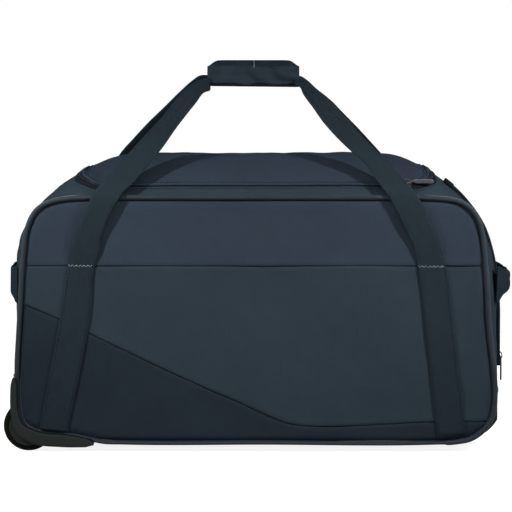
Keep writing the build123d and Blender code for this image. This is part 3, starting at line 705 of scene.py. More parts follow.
# Front and rear faces.
RIM = [
    (0, 12.4), (-187, 12.6), (-212, 13.4), (-232, 17.6), (-259, 22.8), (-303, 28.2), (-318.5, 36.7),
    (-326.5, 53.8), (-328, 88.8), (-327.8, 123.8), (-325.8, 156), (-323.6, 188.4), (-321.8, 215), (-319.4, 256),
    (-317.3, 277), (-315.2, 293), (-311.6, 307), (-306.8, 318), (-300.2, 327), (-292, 333.5),
    (-280, 338.5), (-260, 342.3), (-232, 343.8), (-150, 344), (0, 344), (150, 344), (215, 343.6),
    (246, 342), (263, 339.3), (275, 334), (284.5, 326), (291, 316), (295, 306), (298, 290),
    (301.5, 258), (304, 227), (305.5, 200), (307, 175), (310, 147), (313, 122), (315.3, 100),
    (315.3, 64), (313, 50), (307, 37.5), (297, 26), (285, 18.2), (263, 13.4), (236, 12.4),
]
rim_line = smooth_line(RIM, 4.0, closed=True)
CORNER_SEAM = smooth_line([
    (-400, 238), (-330, 205.5), (-316, 199), (-270.5, 179), (-233, 161.5), (-134, 114.4), (-70.6, 84.8),
    (-29, 67.3), (-6, 56.5), (16.6, 46.3), (34, 39.5), (51.5, 35.8), (75.7, 34.1), (133, 35.3),
    (199, 39.3), (235, 40.4), (304, 40.6), (400, 41),
], 4.0)


def cut(loop, keep):
    """Part of a closed loop on one side of a line: keep is positive on the kept side.

    The part starts where the loop comes back over the line, so its last side is the cut."""
    side = np.array([keep(point) for point in loop])
    enter = int(np.argmax((side >= 0) & (np.roll(side, 1) < 0)))
    loop, side = np.roll(loop, -enter, axis=0), np.roll(side, -enter)
    kept = int((side >= 0).sum())
    first = loop[-1] + (loop[0] - loop[-1]) * side[-1] / (side[-1] - side[0])
    last = loop[kept - 1] + (loop[kept] - loop[kept - 1]) * side[kept - 1] / (side[kept - 1] - side[kept])
    return np.vstack([first, loop[:kept], last])


def refill(loop, step=4.0):
    """Adds points on the long straight stretches of a loop, keeping its corners."""
    result = []
    for i, a in enumerate(loop):
        b = loop[(i + 1) % len(loop)]
        parts = max(1, int(round(np.linalg.norm(b - a) / step)))
        result += [a + (b - a) * k / parts for k in range(parts)]
    result = np.array(result)
    gap = np.linalg.norm(result - np.roll(result, 1, axis=0), axis=1)
    return result[gap > 0.6]


def follow_seam(loop, upper):
    """Loop cut along the slanting seam, with its cut side running along the seam itself."""
    sign = 1 if upper else -1
    part = cut(loop, lambda point: sign * (point[1] - np.interp(point[0], *CORNER_SEAM.T)))
    first, last = part[0], part[-1]
    inner = CORNER_SEAM[(CORNER_SEAM[:, 0] > min(first[0], last[0]) + 2)
                        & (CORNER_SEAM[:, 0] < max(first[0], last[0]) - 2)]
    return np.vstack([part, inner if last[0] < first[0] else inner[::-1]])


STRAP_FRONT = {
    -1: {
        "away": [(32, -298), (203, -266.5), (252, -259), (266, -257.5), (279, -255), (294, -249.5),
                 (313, -241.5), (332, -232), (350, -224)],
        "near": [(28, -260), (203, -226.5), (252, -222), (271, -216), (292, -213.5), (305, -209),
                 (323, -201), (342, -190), (350, -185)],
    },
    1: {
        "away": [(25.5, 276.5), (150, 261.5), (252, 248), (267, 244), (287, 238.5), (305, 230.5),
                 (318, 224), (331, 217.5), (350, 208)],
        "near": [(19, 238.5), (150, 222.5), (252, 210), (276, 205), (289, 200), (302, 193.5),
                 (318, 185.5), (334, 177.5), (350, 168.5)],
    },
}


def strap_middle(z, end):
    """Middle of a strap leg across the front face at a height."""
    away, near = STRAP_FRONT[end]["away"], STRAP_FRONT[end]["near"]
    return (np.interp(z, *zip(*away)) + np.interp(z, *zip(*near))) / 2


def face_swell(x, z):
    """How far the front or rear face bows outwards, held back under the straps."""
    rim_gap = distance_to(np.column_stack([x, z]), rim_line)
    bow = 2.6 * (1 - np.exp(-((rim_gap / 60) ** 2)))
    for end in (-1, 1):
        from_strap = np.abs(x - strap_middle(z, end))
        held = np.exp(-((from_strap / 42) ** 4))
        bow = bow * (1 - 0.93 * held)
    return bow


# Folds: middle, direction in degrees, half length, half width, height.
FACE_FOLDS = [
    ((-205, 243), -38, 16, 4, 0.9), ((-196, 240), -52, 22, 6, -0.8), ((-178, 330), -28, 30, 9, 1.0),
    ((196, 243), 42, 18, 5, 0.9), ((172, 322), 30, 30, 9, 0.9), ((268, 31), 62, 13, 3, 0.8),
    ((-214, 150), -48, 30, 6, 0.7), ((222, 120), 70, 40, 5, 0.6), ((262, 95), 80, 45, 4, 0.6),
    ((-150, 22), 10, 60, 6, 0.5), ((60, 332), -4, 90, 7, 0.6), ((290, 200), 86, 55, 5, 0.7),
]


def crease(x, z, at, angle, length, width, height):
    """One soft fold in the cloth, fading at both ends."""
    turn = math.radians(angle)
    run = (x - at[0]) * math.cos(turn) + (z - at[1]) * math.sin(turn)
    off = -(x - at[0]) * math.sin(turn) + (z - at[1]) * math.cos(turn)
    return height * np.exp(-((run / length) ** 2) - (off / width) ** 2)


def face_relief(x, z, seed):
    """Small folds and unevenness of a face, in millimetres outwards."""
    plan = np.column_stack([x, z])
    relief = rumple(plan * [0.8, 1.0], 120, seed) * 0.7 + rumple(plan, 42, seed + 1) * 0.22
    quiet = np.ones(len(x))
    for end in (-1, 1):
        quiet *= 1 - 0.9 * np.exp(-(((x - strap_middle(z, end)) / 26) ** 4))
    relief = relief * quiet
    return relief + sum(crease(x, z, *fold) for fold in FACE_FOLDS)


def face_piece(name, side, loop, look, roll, seed, *nodes, lift=0.0, thick=1.6):
    """One panel of the front or rear face, its edges turned in at the seams."""
    plan, tris, gap = sheet_mesh(refill(loop), [], 7.0, edge_steps=(1.2, 2.6, 4.2, 5.8))
    at_rim = distance_to(plan, rim_line)
    hem = np.where(at_rim > 3.5, roll * np.exp(-gap / 1.3), 0) + 3.2 * hump(at_rim, 4.1, 1.1)
    puffed = 0.9 * hump(gap, 5, 4.5) * np.where(at_rim > 6, 1, 0.2)
    fade = np.clip(at_rim / 14, 0, 1)
    out = (face_swell(*plan.T) + (face_relief(*plan.T, seed) + puffed * 0.6) * fade
           - hem + lift * np.clip(at_rim / 8, 0, 1))
    if side > 0:
        tris = tris[:, ::-1]
    piece = mesh_piece(name, stack(plan[:, 0], side * (HALF_DEPTH + out), plan[:, 1]), tris, [look], plan)
    solid(piece, thick, "lining")
    fit(piece, "bag", look, *nodes)


upper_loop = cut(rim_line, lambda p: p[1] - SEAM_Z)
lower_loop = cut(rim_line, lambda p: SEAM_Z - p[1])
face_piece("front_upper_face", -1, upper_loop, "fabric_light", 0.5, 11, "front_upper_panel", lift=0.7, thick=1.2)
face_piece("front_pocket_face", -1, follow_seam(lower_loop, True), "fabric_body", 1.5, 21, "front_pocket_panel")
face_piece("front_corner_face", -1, follow_seam(lower_loop, False), "fabric_corner", 1.6, 31, "front_corner_panel")
face_piece("rear_face", 1, rim_line, "fabric_body", 0.0, 51, "rear_panel")

# Lining bag behind the front pocket.
lining_plan = np.array([(x, z) for z in np.linspace(50, 264, 26) for x in np.linspace(-262, 258, 60)])
lining_y = -156.6 + rumple(lining_plan, 60, 71) * 1.1
pocket_lining = mesh_piece("pocket_lining_bag", stack(lining_plan[:, 0], lining_y, lining_plan[:, 1]),
                           grid_faces(26, 60), ["lining"], lining_plan)
solid(pocket_lining, 0.6)
fit(pocket_lining, "bag", "lining", "front_pocket_lining")

# Zip of the front pocket, under the edge of the panel above it.
tape_x = np.linspace(-212, 200, 160)
fit(one_part("pocket_zip_band", "zip_tape", ribbon, stack(tape_x, -161.4, 252.4), stack(tape_x, -161.4, 259.0),
             0.7, across=5), "bag", "zip_tape", "pocket_zip_tape")
fit(one_part("pocket_zip_coil", "zip_coil", toothed, stack(np.arange(-211.0, 199.0, 0.9), -162.0, 255.6),
             0.95, 0.65, sides=6, up=(0, 1, 0)), "bag", "zip_tape")

# Piping round both faces.
for name, side in SIDES.items():
    rim = stack(rim_line[:, 0], side * (HALF_DEPTH + 1.0), rim_line[:, 1])
    along_base = np.clip((20 - rim[:, 2]) / 5, 0, 1) * (np.abs(rim[:, 0] - 15) < 235)
    guarded = np.clip((104 - rim[:, 2]) / 6, 0, 1) * np.clip((-222 - rim[:, 0]) / 6, 0, 1)
    rim[:, 1] -= side * 2.6 * guarded
    cord = one_part(f"{name}_piping_cord", "binding", tube, rim, 3.4 - 0.9 * along_base - 2.2 * guarded,
                    sides=12, closed=True, up=(0, 1, 0))
    fit(cord, "bag", "binding", f"{name}_piping")

# ------------------------------------------------------------------ lid
# Folds: middle, direction in degrees, half length, half width, height.
LID_FOLDS = [
    ((-182, -92), 22, 46, 11, 1.0), ((-205, -66), 55, 40, 9, 0.5), ((176, -96), -24, 46, 12, 0.8),
    ((200, -58), -50, 36, 9, 0.4), ((0, -120), 0, 150, 12, 0.5),
]
LID_INSET, LID_TUCK = 3.2, 2.5
lid_edge = zip_plan(-LID_INSET, -0.9)
lid_rear_x = np.linspace(LID_RIGHT - LID_INSET, LID_LEFT + LID_INSET, 90)[1:-1]
tucked = np.where(lid_edge[:, 1:] > REAR_SEAM - 1, [0, LID_TUCK], [0, 0])
lid_loop = np.vstack([lid_edge + tucked, stack(lid_rear_x, REAR_SEAM + LID_TUCK)])
lid_flat, lid_faces, _ = sheet_mesh(lid_loop, [], 6.5)
lx, ly = lid_flat.T
lid_z = top_z(lx, ly)
to_zip = distance_to(lid_flat, lid_edge, closed=False)
raised = puff(lx, ly) * np.exp(-(to_zip / 42) ** 1.6)
hem = -1.4 * np.exp(-to_zip / 1.4) + hump(to_zip, 4, 3) - 0.5 * hump(to_zip, 9, 1.6)
soft = (rumple(lid_flat * [0.7, 1.0], 130, 81) + rumple(lid_flat, 46, 82) * 0.35 - 0.8) * np.clip(to_zip / 30, 0, 1)
rear_calm = np.clip((REAR_SEAM - ly) / 25, 0, 1)
ridge = sum(crease(lx, ly, *fold) for fold in LID_FOLDS)
lid_z = lid_z + raised + hem + (soft + ridge * np.clip(to_zip / 12, 0, 1)) * rear_calm - 1.2 * (1 - rear_calm)
lid_shell = mesh_piece("lid_shell", stack(lx, ly, lid_z), lid_faces, ["fabric_light"], lid_flat)
solid(lid_shell, 1.6, "lining")
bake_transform(lid_shell)
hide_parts("lid_panel")


def straight_run(plan):
    """1 on the zip's straight front run, 0 from the corners back."""
    return corner_ease(plan) * (plan[:, 1] < LID_FRONT + 4)


# Zip round the lid: a tape and half of the coil on each side of it.
for name, body, grow, heights, shares, node in (
    ("zip_tape_on_bag", "bag", (0.3, ZIP_WIDTH + 2.5), (1.2, -0.9), (0.85, 0.3), "main_zip_tape"),
    ("zip_tape_on_lid", "lid", (-7.0, -0.3), (-0.6, 1.2), (0.9, 0.85), "lid_zip_tape"),
):
    inner, outer = zip_plan(grow[0]), zip_plan(grow[1])
    keep = inner[:, 1] < LID_REAR - 2
    sunk = 1.6 * straight_run(inner[keep])
    edges = [on_top(plan[keep], height - sunk, share)
             for plan, height, share in zip((outer, inner), heights[::-1], shares[::-1])]
    fit(one_part(name, "zip_tape", ribbon, *edges, 0.9, across=4), body, "zip_tape", node)
for name, body, grow in (("zip_coil_on_bag", "bag", 1.05), ("zip_coil_on_lid", "lid", -1.05)):
    plan = even(short_of_rear(zip_plan(grow), 3), 0.75)
    line = on_top(plan, 2.0 - 4.6 * straight_run(plan), 0.85)
    fit(one_part(name, "zip_coil", toothed, line, 1.25, 0.8, sides=7), body, "zip_tape")

# Raised hems either side of the zip, and their stitching.
for name, body, grow, height, share, radius, look in (
    ("zip_hem_on_lid", "lid", (-4.4, -2.2), 1.3, 1.0, 1.7, "fabric_light"),
    ("zip_hem_on_bag", "bag", (ZIP_WIDTH + 1.6, 2.7), 0.2, 0.35, 1.5, "fabric_body"),
):
    line = on_top(even(short_of_rear(zip_plan(*grow), 3), 4.0), height, share)
    fit(one_part(name, look, tube, line, radius, sides=9), body, look)
line = on_top(even(short_of_rear(zip_plan(-9.5, -7.5), 6), 2.0), 0.9, 0.93)
fit(one_part("lid_stitching", "webbing", stitches, line, (0, 0, 1)), "lid", "webbing")

# ------------------------------------------------------------------ carry straps and grip
# Side view of a strap: height, then how far its middle stands from the bag's centre plane.
STRAP_RUN = [
    (18, 167.2), (60, 167.2), (150, 167.2), (238, 167.2), (252, 167.6), (272, 170.2), (300, 173.4),
    (328, 175.2), (342, 175.2), (350, 173.4), (356, 169.2), (364, 160.8), (385, 137.5), (420, 100.0),
    (455, 62.5), (485, 30.5), (499, 15.5), (505, 9.2),
]
FREE = {
    ("front", -1): (
        [(362, -214), (380, -198), (400, -180), (422, -160), (448, -136), (467, -121), (484, -106),
         (499, -84), (502.5, -70)],
        [(363, -171), (375, -160.5), (389, -149.5), (404, -136.5), (437, -113), (468, -88.5), (482, -77),
         (484, -70)],
    ),
    ("rear", -1): (
        [(362, -218), (389.5, -202.5), (412.5, -182), (435.5, -160.5), (460.5, -134.5), (480.5, -114),
         (497, -95.5), (504.5, -84), (504.5, -70)],
        [(363, -174), (378, -163), (404, -144), (430, -123), (455, -102), (473, -86), (483, -76), (484, -70)],
    ),
    ("front", 1): (
        [(366, 193.8), (384, 176), (400.5, 160), (415, 146.5), (428, 134.5), (441, 123), (453, 112.5),
         (466, 102), (475, 92), (486, 78), (498, 64.5), (503, 54), (504, 48)],
        [(353, 166), (370, 153), (387, 142), (403.5, 123), (420, 105.5), (441, 86.5), (462, 71.5), (481, 58),
         (489, 54.5), (492, 47)],
    ),
    ("rear", 1): (
        [(366, 196), (384, 180), (400.5, 165), (428, 139.5), (453, 115), (466, 102.5), (475, 92), (486, 78),
         (498, 65), (503.5, 56), (504, 48)],
        [(353, 166), (370, 153), (387, 142), (403.5, 124), (420, 106.5), (441, 88), (462, 72.5), (481, 59),
         (489, 55), (492, 47)],
    ),
}


def strap_edges(face, end):
    """The two edge lines of a strap leg, from the base to the grip, as seen from the front."""
    return [smooth_line([(x, z) for z, x in STRAP_FRONT[end][which] + free], 3.0)
            for which, free in zip(("away", "near"), FREE[(face, end)])]


def strap_leg(pile, face, end):
    """One leg of a strap as a thin woven band with a slight curl."""
    side = SIDES[face]
    run = np.array(STRAP_RUN)
    fine = np.linspace(run[0, 0], run[-1, 0], 400)
    reach = hermite(run[:, 0], run[:, 1:], fine)[:, 0]
    edges = []
    for line in strap_edges(face, end):
        at = run_length(line)
        level = np.interp(np.linspace(max(line[0, 1], 26), 330, 105), line[:, 1], at)
        level[0] = 0
        want = np.concatenate([level, np.linspace(level[-1], at[-1], 96)[1:]])
        x, z = (np.interp(want, at, column) for column in line.T)
        swell = face_swell(x, np.clip(z, 20, 330)) * np.clip((300 - z) / 60, 0, 1)
        edges.append(stack(x, side * (np.interp(z, fine, reach) + swell * 0.9), z))
    away, near = edges
    if side * end < 0:
        away, near = near, away
    share = np.linspace(0, 1, 9)
    arc = 4 * share * (1 - share)
    height = np.clip(((away + near) / 2)[:, 2] - 262, 0, 60) / 60
    wave = np.sin(np.linspace(0, 9, len(away))) * 0.5
    ribbon(pile, away, near, 2.3, lift=-(height * (0.9 + wave))[:, None] * arc[None])
    return away, near


strap_lines = {}
for face, side in SIDES.items():
    pile = Pile()
    for end in (-1, 1):
        strap_lines[(face, end)] = strap_leg(pile, face, end)
    straps = pile.piece(f"{face}_straps", "webbing")
    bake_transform(straps)
    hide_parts(f"{face}_webbing", f"{face}_handle_strap")
    # Stitching that holds the sewn part down, and the bar tack across its top.
    pile, tack = Pile(), Pile()
    for end in (-1, 1):
        a, b = strap_lines[(face, end)]
        sewn = (a + b)[:, 2] / 2 < SEAM_Z - 2
        for share in (0.07, 0.93):
            stitches(pile, (a + (b - a) * share)[sewn] + [0, side * 1.25, 0], (0, side, 0))
        row = int(np.argmin(np.abs((a + b)[:, 2] / 2 - SEAM_Z)))
        across = a[row] + (b[row] - a[row]) * np.array([[0.05], [0.95]]) + [0, side * 1.35, 0]
        stitches(tack, across, (0, side, 0), length=2.4, pitch=2.6, radius=0.62, zigzag=1.3)
    fit(pile.piece(f"{face}_strap_stitching", "webbing"), "bag", "webbing")
    fit(tack.piece(f"{face}_bar_tacks", "thread"), "bag", "webbing")

GRIP_LEFT, GRIP_LENGTH, GRIP_LOW, GRIP_HIGH = -73.9, 128.0, 488.2, 525.9
GRIP_SEAM_X = -8.6


def grip_half(face):
    """Half of the soft wrap: a rounded roll whose top ends slope down, flat where the halves meet.

    Returns the line over the top of its outer side at the middle seam, for the thread there."""
    side = SIDES[face]
    across = np.concatenate([[0.0, 0.8, 2.0, 4.0, 7.0], np.linspace(11, 117, 54),
                             [121, 124, 126, 127.2, GRIP_LENGTH]])
    outer_count, inner_count = 22, 8
    ring_count = outer_count + inner_count
    angle = np.linspace(math.pi / 2, -math.pi / 2, outer_count)
    rows, flat = [], []
    for d in across:
        x = GRIP_LEFT + d
        end_gap = min(d, GRIP_LENGTH - d)
        round_in = 1.0 - 0.13 * math.exp(-end_gap / 1.6)
        top = GRIP_HIGH - 8.0 * hump(end_gap, 0, 8.5)
        low = GRIP_LOW + 1.4 * (1 - d / GRIP_LENGTH)
        middle, half = (top + low) / 2, (top - low) / 2
        z = middle + half * np.sign(np.sin(angle)) * np.abs(np.sin(angle)) ** 0.86
        squeeze = 1 - 0.16 * np.clip((z - middle) / half, 0, 1) ** 2
        y = (0.5 + 14.2 * np.abs(np.cos(angle)) ** 0.72 * squeeze) * round_in
        z = middle + (z - middle) * (round_in * 0.3 + 0.7)
        # Wrinkles, the overlapping edge near the top, the hem near the bottom, and the sewn rings.
        relief = rumple(stack(x, y, z) * [1, 0.6, 0.8], 19, 91 if side < 0 else 92) * 3.2
        relief += 0.45 * np.sin((x * 0.9 + z * 1.3) / 9.0) * hump(z, 508, 9)
        relief += 2.2 * np.clip((z - 515.2) / 0.8, 0, 1) * np.clip((527 - z) / 6, 0, 1)
        relief += 0.5 * hump(z, low + 5, 2.0) - 1.6 * hump(z, low + 8, 1.0)
        relief -= 1.6 * hump(end_gap, 8, 1.5) + 0.6 * hump(d, GRIP_LENGTH / 2, 1.0)
        y = y + relief * np.clip(y / 6, 0, 1) * min(1.0, end_gap / 5)
        ring_y = np.concatenate([y, np.full(inner_count, 0.5)])
        ring_z = np.concatenate([z, np.linspace(z[-1], z[0], inner_count + 2)[1:-1]])
        rows.append(stack(x, side * ring_y, ring_z))
        flat.append(stack(x, run_length(stack(ring_y, ring_z))))
    points = np.vstack(rows)
    faces = grid_faces(len(across), ring_count, close_cols=True)
    faces.append(list(range(ring_count))[::-1])
    faces.append([(len(across) - 1) * ring_count + k for k in range(ring_count)])
    if side < 0:
        faces = [f[::-1] for f in faces]
    # Faces across the top of the roll get the darker cloth: painted shade where the top faces up, away from the front
    # lights.
    look_of_face = [int(points[list(f), 2].min() > 516.5) for f in faces]
    piece = mesh_piece(f"{face}_grip_half", points, faces, ["grip_cloth", "fabric_corner"], np.vstack(flat),
                       look_of_face)
    fit(piece, f"{face}_handle", "fabric_body", f"{face}_grip_pad")
    outer = rows[int(np.argmin(np.abs(GRIP_LEFT + across - GRIP_SEAM_X)))][:outer_count]
    return outer[(outer[:, 2] > 515) & (np.abs(outer[:, 1]) > 3)]


grip_half("rear")
thread_run = smooth_line(grip_half("front") + [0, -0.35, 0.2], 0.8)
fit(one_part("grip_centre_thread", "thread", tube, thread_run, 0.55, sides=6, up=(1, 0, 0)),
    "front_handle", "webbing")

# ------------------------------------------------------------------ haul handles
for end, name, face_x, rise in ((-1, "haul_handle_wheel_end", 338.0, 11), (1, "haul_handle_tow_end", 329.0, 4)):
    spine = smooth_line([
        (face_x - 5.2, -98), (face_x - 3.0, -88), (face_x + 0.6, -76), (face_x + 5, -64),
        (341.0, -52), (342.6, -36), (343.0, 0), (342.6, 36), (341.0, 52), (face_x + 5, 64),
        (face_x + 0.6, 76), (face_x - 3.0, 88), (face_x - 5.2, 98),
    ], 2.5)
    root = np.clip((np.abs(spine[:, 1]) - 40) / 42, 0, 1)
    spread = 11.5 + 13.5 * root ** 1.2 + 0.6 * np.sin(spine[:, 1] / 9)
    middle_z = 220 + rise * (1 - root)
    low, high = (stack(end * spine[:, 0], spine[:, 1], middle_z + way * spread) for way in (-1, 1))
    low[:, 0] += end * 0.8 * np.sin(spine[:, 1] / 12)
    pile = Pile()
    share = np.linspace(0, 1, 9)
    fold_over = np.clip((60 - np.abs(spine[:, 1])) / 20, 0, 1)
    groove = -1.3 * hump(share, 0.5, 0.12)
    lift = fold_over[:, None] * (3.6 * 4 * share * (1 - share) + groove)[None]
    ends = (low, high) if end < 0 else (high, low)
    ribbon(pile, *ends, 2.4, lift=lift)
    # Second layer, folded back behind the first where the hand goes.
    hand = np.abs(spine[:, 1]) < 56
    back = [edge[hand] - [end * 3.0, 0, 0] for edge in ends]
    ribbon(pile, *back, 2.4)
    fit(pile.piece(f"{name}_band", "webbing"), "bag", "webbing", name)
    pile = Pile()
    for level in (-0.8, 0.8):
        for low_y, high_y in ((-97, -78), (78, 97)):
            part = (spine[:, 1] > low_y) & (spine[:, 1] < high_y)
            line = stack(end * (spine[:, 0] + 1.25), spine[:, 1], middle_z + level * spread)[part]
            stitches(pile, line, (end, 0, 0))
    fit(pile.piece(f"{name}_stitching", "webbing"), "bag", "webbing")

# ------------------------------------------------------------------ end pocket zip
END_ZIP_Y = -45.0
us = np.linspace(u_where(253, END_ZIP_Y, 0, U_TOP[0], U_TOP[1] - 5, True),
                 u_where(104, END_ZIP_Y, 2, *U_HANDLE_END, False), 150)


def end_line(offset_y, out, samples):
    """Line down the handle end at a distance in front of its surface."""
    place = form(samples, END_ZIP_Y + offset_y)
    along = unit(form(samples + 1, END_ZIP_Y + offset_y) - place)
    normal = stack(-along[:, 2], 0, along[:, 0])
    return place + normal * out


fit(one_part("end_zip_band", "zip_tape", ribbon, end_line(-7, 0.9, us), end_line(7, 0.9, us), 1.2, across=5),
    "bag", "zip_tape", "end_zip_tape")
pile = Pile()
for offset in (-7.4, 7.4):
    tube(pile, end_line(offset, 1.5, us), 2.3, sides=9, up=(0, 1, 0))
for low, high, thick in ((0, 7, 4.4), (142, 149, 3.6)):
    patch = us[low:high + 1]
    out = 1.4 + thick / 2
    ribbon(pile, end_line(-9, out, patch), end_line(9, out, patch), thick, across=7)
fit(pile.piece("end_zip_hems", "zip_tape"), "bag", "zip_tape")
pile = Pile()
fine_us = np.linspace(us[6], us[-7], 360)
for offset in (-1.2, 1.2):
    toothed(pile, end_line(offset, 3.0, fine_us), 1.9, 1.2, sides=7, up=(0, 1, 0))
fit(pile.piece("end_zip_coil", "zip_coil"), "bag", "zip_tape")

# ------------------------------------------------------------------ sliders and pulls
def slider_shape(pile, centre, length_axis, width_axis, up_axis, size):
    """Zip slider: two waisted plates, and the arch that holds the pull."""
    long, wide, tall = size
    vectors = (centre, length_axis, width_axis, up_axis)
    centre, length_axis, width_axis, up_axis = (np.asarray(v, float) for v in vectors)
    along = np.linspace(-1, 1, 13)
    nose = 1 - 0.25 * np.maximum(0, np.abs(along) - 0.85) / 0.15
    waist = wide / 2 * (0.78 + 0.22 * np.abs(along) ** 1.5) * nose
    outline = np.column_stack([np.append(along, along[::-1]) * long / 2, np.append(waist, -waist[::-1])])
    n = len(outline)
    faces = [(i, (i + 1) % n, n + (i + 1) % n, n + i) for i in range(n)]
    faces += [list(range(n))[::-1], [n + i for i in range(n)]]
    for level, thick in ((-0.32, 0.24), (0.2, 0.26)):
        low, high = (
            centre + outline[:, :1] * shrink[0] * length_axis + outline[:, 1:] * shrink[1] * width_axis
            + up_axis * (level + way * thick / 2) * tall
            for way, shrink in ((-1, (1, 1)), (1, (0.96, 0.92)))
        )
        pile.add(np.vstack([low, high]), faces)
    arch = [(-0.36, 0.25), (-0.3, 0.75), (-0.1, 1.05), (0.15, 1.1), (0.34, 0.85), (0.4, 0.25)]
    line = smooth_line([centre + length_axis * a * long + up_axis * h * tall for a, h in arch], 0.6)
    tube(pile, line, 0.8, sides=8, up=tuple(width_axis))


def pull_shape(pile, root, along_axis, width_axis, length, width):
    """Zip pull: a ring at the pin, a short neck and a flat cord tab with a rounded end."""
    root, along_axis, width_axis = (np.asarray(v, float) for v in (root, along_axis, width_axis))
    turn = np.linspace(0, 2 * math.pi, 17)[:-1]
    ring = [root + along_axis * (2.2 - 2.2 * math.cos(t)) + width_axis * 1.9 * math.sin(t) for t in turn]
    tube(pile, ring, 0.6, sides=7, closed=True, up=tuple(np.cross(along_axis, width_axis)))
    stations = np.linspace(4.0, length, 16)
    half = np.interp(stations, [4, 6, 9, length - 3, length - 1, length],
                     [0.9, 1.1, width / 2, width / 2, width / 2.4, 0.8])
    low, high = (root + along_axis * stations[:, None] + way * width_axis * half[:, None] for way in (-1, 1))
    ribbon(pile, low, high, 2.3, across=7)


def node_box(node):
    """Lowest and highest corner of a CAD node, in millimetres."""
    return [np.array(corner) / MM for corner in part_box(node)]


def metal_piece(name, make, node, *values):
    """Slider or pull, on the body of the CAD node it stands for."""
    fit(one_part(name, "zip_metal", make, *values), node, "zip_metal", node)


X, Y, Z = np.eye(3)
low, high = node_box("zip_slider")
metal_piece("main_slider", slider_shape, "zip_slider", ((low[0] + high[0]) / 2, (low[1] + high[1]) / 2, low[2] + 1.6),
            X, Y, Z, (13.5, 9.0, 5.6))
low, high = node_box("zip_pull")
metal_piece("main_pull", pull_shape, "zip_pull", (low[0], -143.0, (low[2] + high[2]) / 2), X, (0, 0.88, 0.475),
            high[0] - low[0], 8.4)
low, high = node_box("end_slider")
metal_piece("end_slider_body", slider_shape, "end_slider", (low[0] - 1.2, END_ZIP_Y, (low[2] + high[2]) / 2),
            -Z, Y, X, (13.5, 8.0, 4.6))
low, high = node_box("end_pull")
metal_piece("end_pull_tab", pull_shape, "end_pull", ((low[0] + high[0]) / 2 - 2.4, END_ZIP_Y, high[2]), -Z, Y,
            high[2] - low[2], 7.6)

# ------------------------------------------------------------------ trims on hard parts
LIP_INNER = [(-328.6, 101), (-328.6, 75), (-327.2, 54), (-320, 36.6), (-303.4, 27.9), (-259, 22.4), (-226, 16.2)]
LIP_OUTER = [(-336.2, 101), (-337.6, 75), (-336.5, 50), (-328, 24), (-306, 11), (-270, 6.6), (-226, 6.4)]
LIP_COUNT, LIP_Y = 90, 164.9
shares = np.linspace(0, 1, LIP_COUNT)
rounded = np.clip(np.minimum(np.arange(LIP_COUNT), np.arange(LIP_COUNT)[::-1]) / 5, 0, 1)[:, None] ** 0.5
for name, side in SIDES.items():
    edges = []
    for line in (smooth_line(LIP_INNER, 1.0), smooth_line(LIP_OUTER, 1.0)):
        x, z = (np.interp(shares, np.linspace(0, 1, len(line)), column) for column in line.T)
        edges.append(stack(x, side * LIP_Y, z))
    centre_line = (edges[0] + edges[1]) / 2
    edges = [centre_line + (edge - centre_line) * (0.25 + 0.75 * rounded) for edge in edges[::-side]]
    fit(one_part(f"{name}_guard_lip", "housing_plastic", ribbon, *edges, 6.0, across=9), "bag", "housing_plastic")

ys = np.linspace(-108, 108, 60)
side_us = np.linspace(cup_top(73, 112), cup_base(264, 112), 24)
loop = [form(cup_top(73, y), y) for y in ys] + [form(u, 113.0) for u in side_us]
loop += [form(cup_base(263, y), y) for y in ys[::-1]] + [form(u, -113.0) for u in side_us[::-1]]
fit(one_part("tow_cup_bead", "housing_plastic", tube, smooth_line(loop, 4.0, closed=True), 1.9,
             sides=8, closed=True, up=(0.7, 0, 0.7)), "bag", "housing_plastic")

# ------------------------------------------------------------------ floor, lights and camera
floor = bpy.data.meshes.new("floor")
floor.from_pydata([(-30, -30, 0), (30, -30, 0), (30, 30, 0), (-30, 30, 0)], [], [(0, 1, 2, 3)])
floor_piece = bpy.data.objects.new("floor", floor)
scene.collection.objects.link(floor_piece)
floor_look, floor_shader, floor_add, floor_link = new_material("pale_floor")
floor_noise = floor_add("ShaderNodeTexNoise", [("Scale", 3.0)])
floor_tone = shade(floor_add, floor_noise.outputs[0], 0.3, 0.7, (0.25, 0.25, 0.25), 0.01)
floor_link(floor_tone, floor_shader.inputs["Base Color"])
for socket, value in (("Roughness", 0.9), ("Specular IOR Level", 0.0), ("Emission Color", (1.0, 1.0, 1.0, 1)),
                      ("Emission Strength", 0.87)):
    floor_shader.inputs[socket].default_value = value
floor.materials.append(floor_look)
floor_piece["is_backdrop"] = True

world = bpy.data.worlds.new("studio")
world.use_nodes = True
scene.world = world
sky = world.node_tree
direction = sky.nodes.new("ShaderNodeTexCoord")
upward = sky.nodes.new("ShaderNodeSeparateXYZ")
dim = sky.nodes.new("ShaderNodeMapRange")
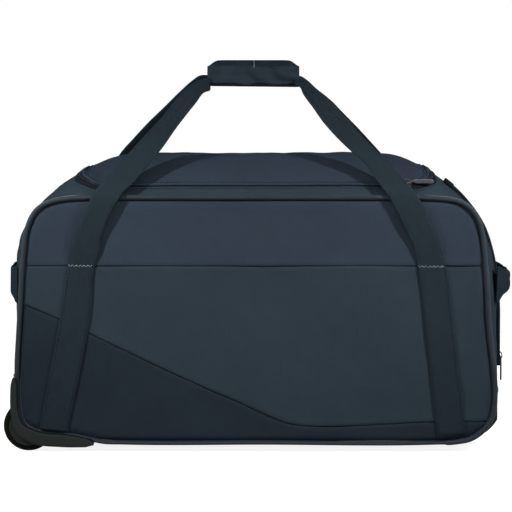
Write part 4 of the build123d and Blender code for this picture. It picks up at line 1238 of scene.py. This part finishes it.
for socket, value in (("From Min", 0.03), ("From Max", 0.30), ("To Min", 1.03), ("To Max", 0.5)):
    dim.inputs[socket].default_value = value
sky.links.new(direction.outputs["Generated"], upward.inputs[0])
sky.links.new(upward.outputs["Z"], dim.inputs["Value"])
sky.links.new(dim.outputs[0], sky.nodes["Background"].inputs["Strength"])
sky.nodes["Background"].inputs["Color"].default_value = (1.0, 1.0, 1.0, 1)


def look_at(thing, place, target):
    """Puts a lamp or the camera at a place, turned towards a target."""
    scene.collection.objects.link(thing)
    thing.location = place
    thing.rotation_mode = "QUATERNION"
    thing.rotation_quaternion = (Vector(target) - Vector(place)).to_track_quat("-Z", "Y")


for name, place, target, size, power, spread in (
    ("left_key", (-0.95, -0.8, 0.95), (-0.22, -0.165, 0.30), (0.05, 0.05), 2.65, 49),
    ("right_key", (0.95, -0.8, 0.95), (0.22, -0.165, 0.30), (0.05, 0.05), 2.65, 49),
    ("front_wash", (0, -1.0, 0.85), (0, 0, 0.33), (0.5, 0.25), 1.8, 120),
    ("rear_wash", (0, 1.5, 0.9), (0, 0, 0.2), (1.6, 0.6), 14, 120),
    ("wheel_end_wash", (-1.6, 0.3, 0.7), (0, 0, 0.2), (0.6, 0.6), 3, 120),
    ("handle_end_wash", (1.6, 0.3, 0.7), (0, 0, 0.2), (0.6, 0.6), 3, 120),
):
    light = bpy.data.lights.new(name, "AREA")
    light.shape = "RECTANGLE"
    light.size, light.size_y = size
    light.energy = power
    light.spread = math.radians(spread)
    look_at(bpy.data.objects.new(name, light), place, target)

CAMERA_DISTANCE, CAMERA_ELEVATION = 4.0, math.radians(4.5)
aim = Vector((-0.0062, 0.0, 0.2522))
camera_data = bpy.data.cameras.new("camera")
camera_data.lens = 200.9
camera_data.sensor_width = 36.0
camera = bpy.data.objects.new("camera", camera_data)
away = Vector((0, -math.cos(CAMERA_ELEVATION), math.sin(CAMERA_ELEVATION)))
look_at(camera, aim + CAMERA_DISTANCE * away, aim)
scene.camera = camera
scene.view_settings.view_transform = "Standard"

low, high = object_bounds()
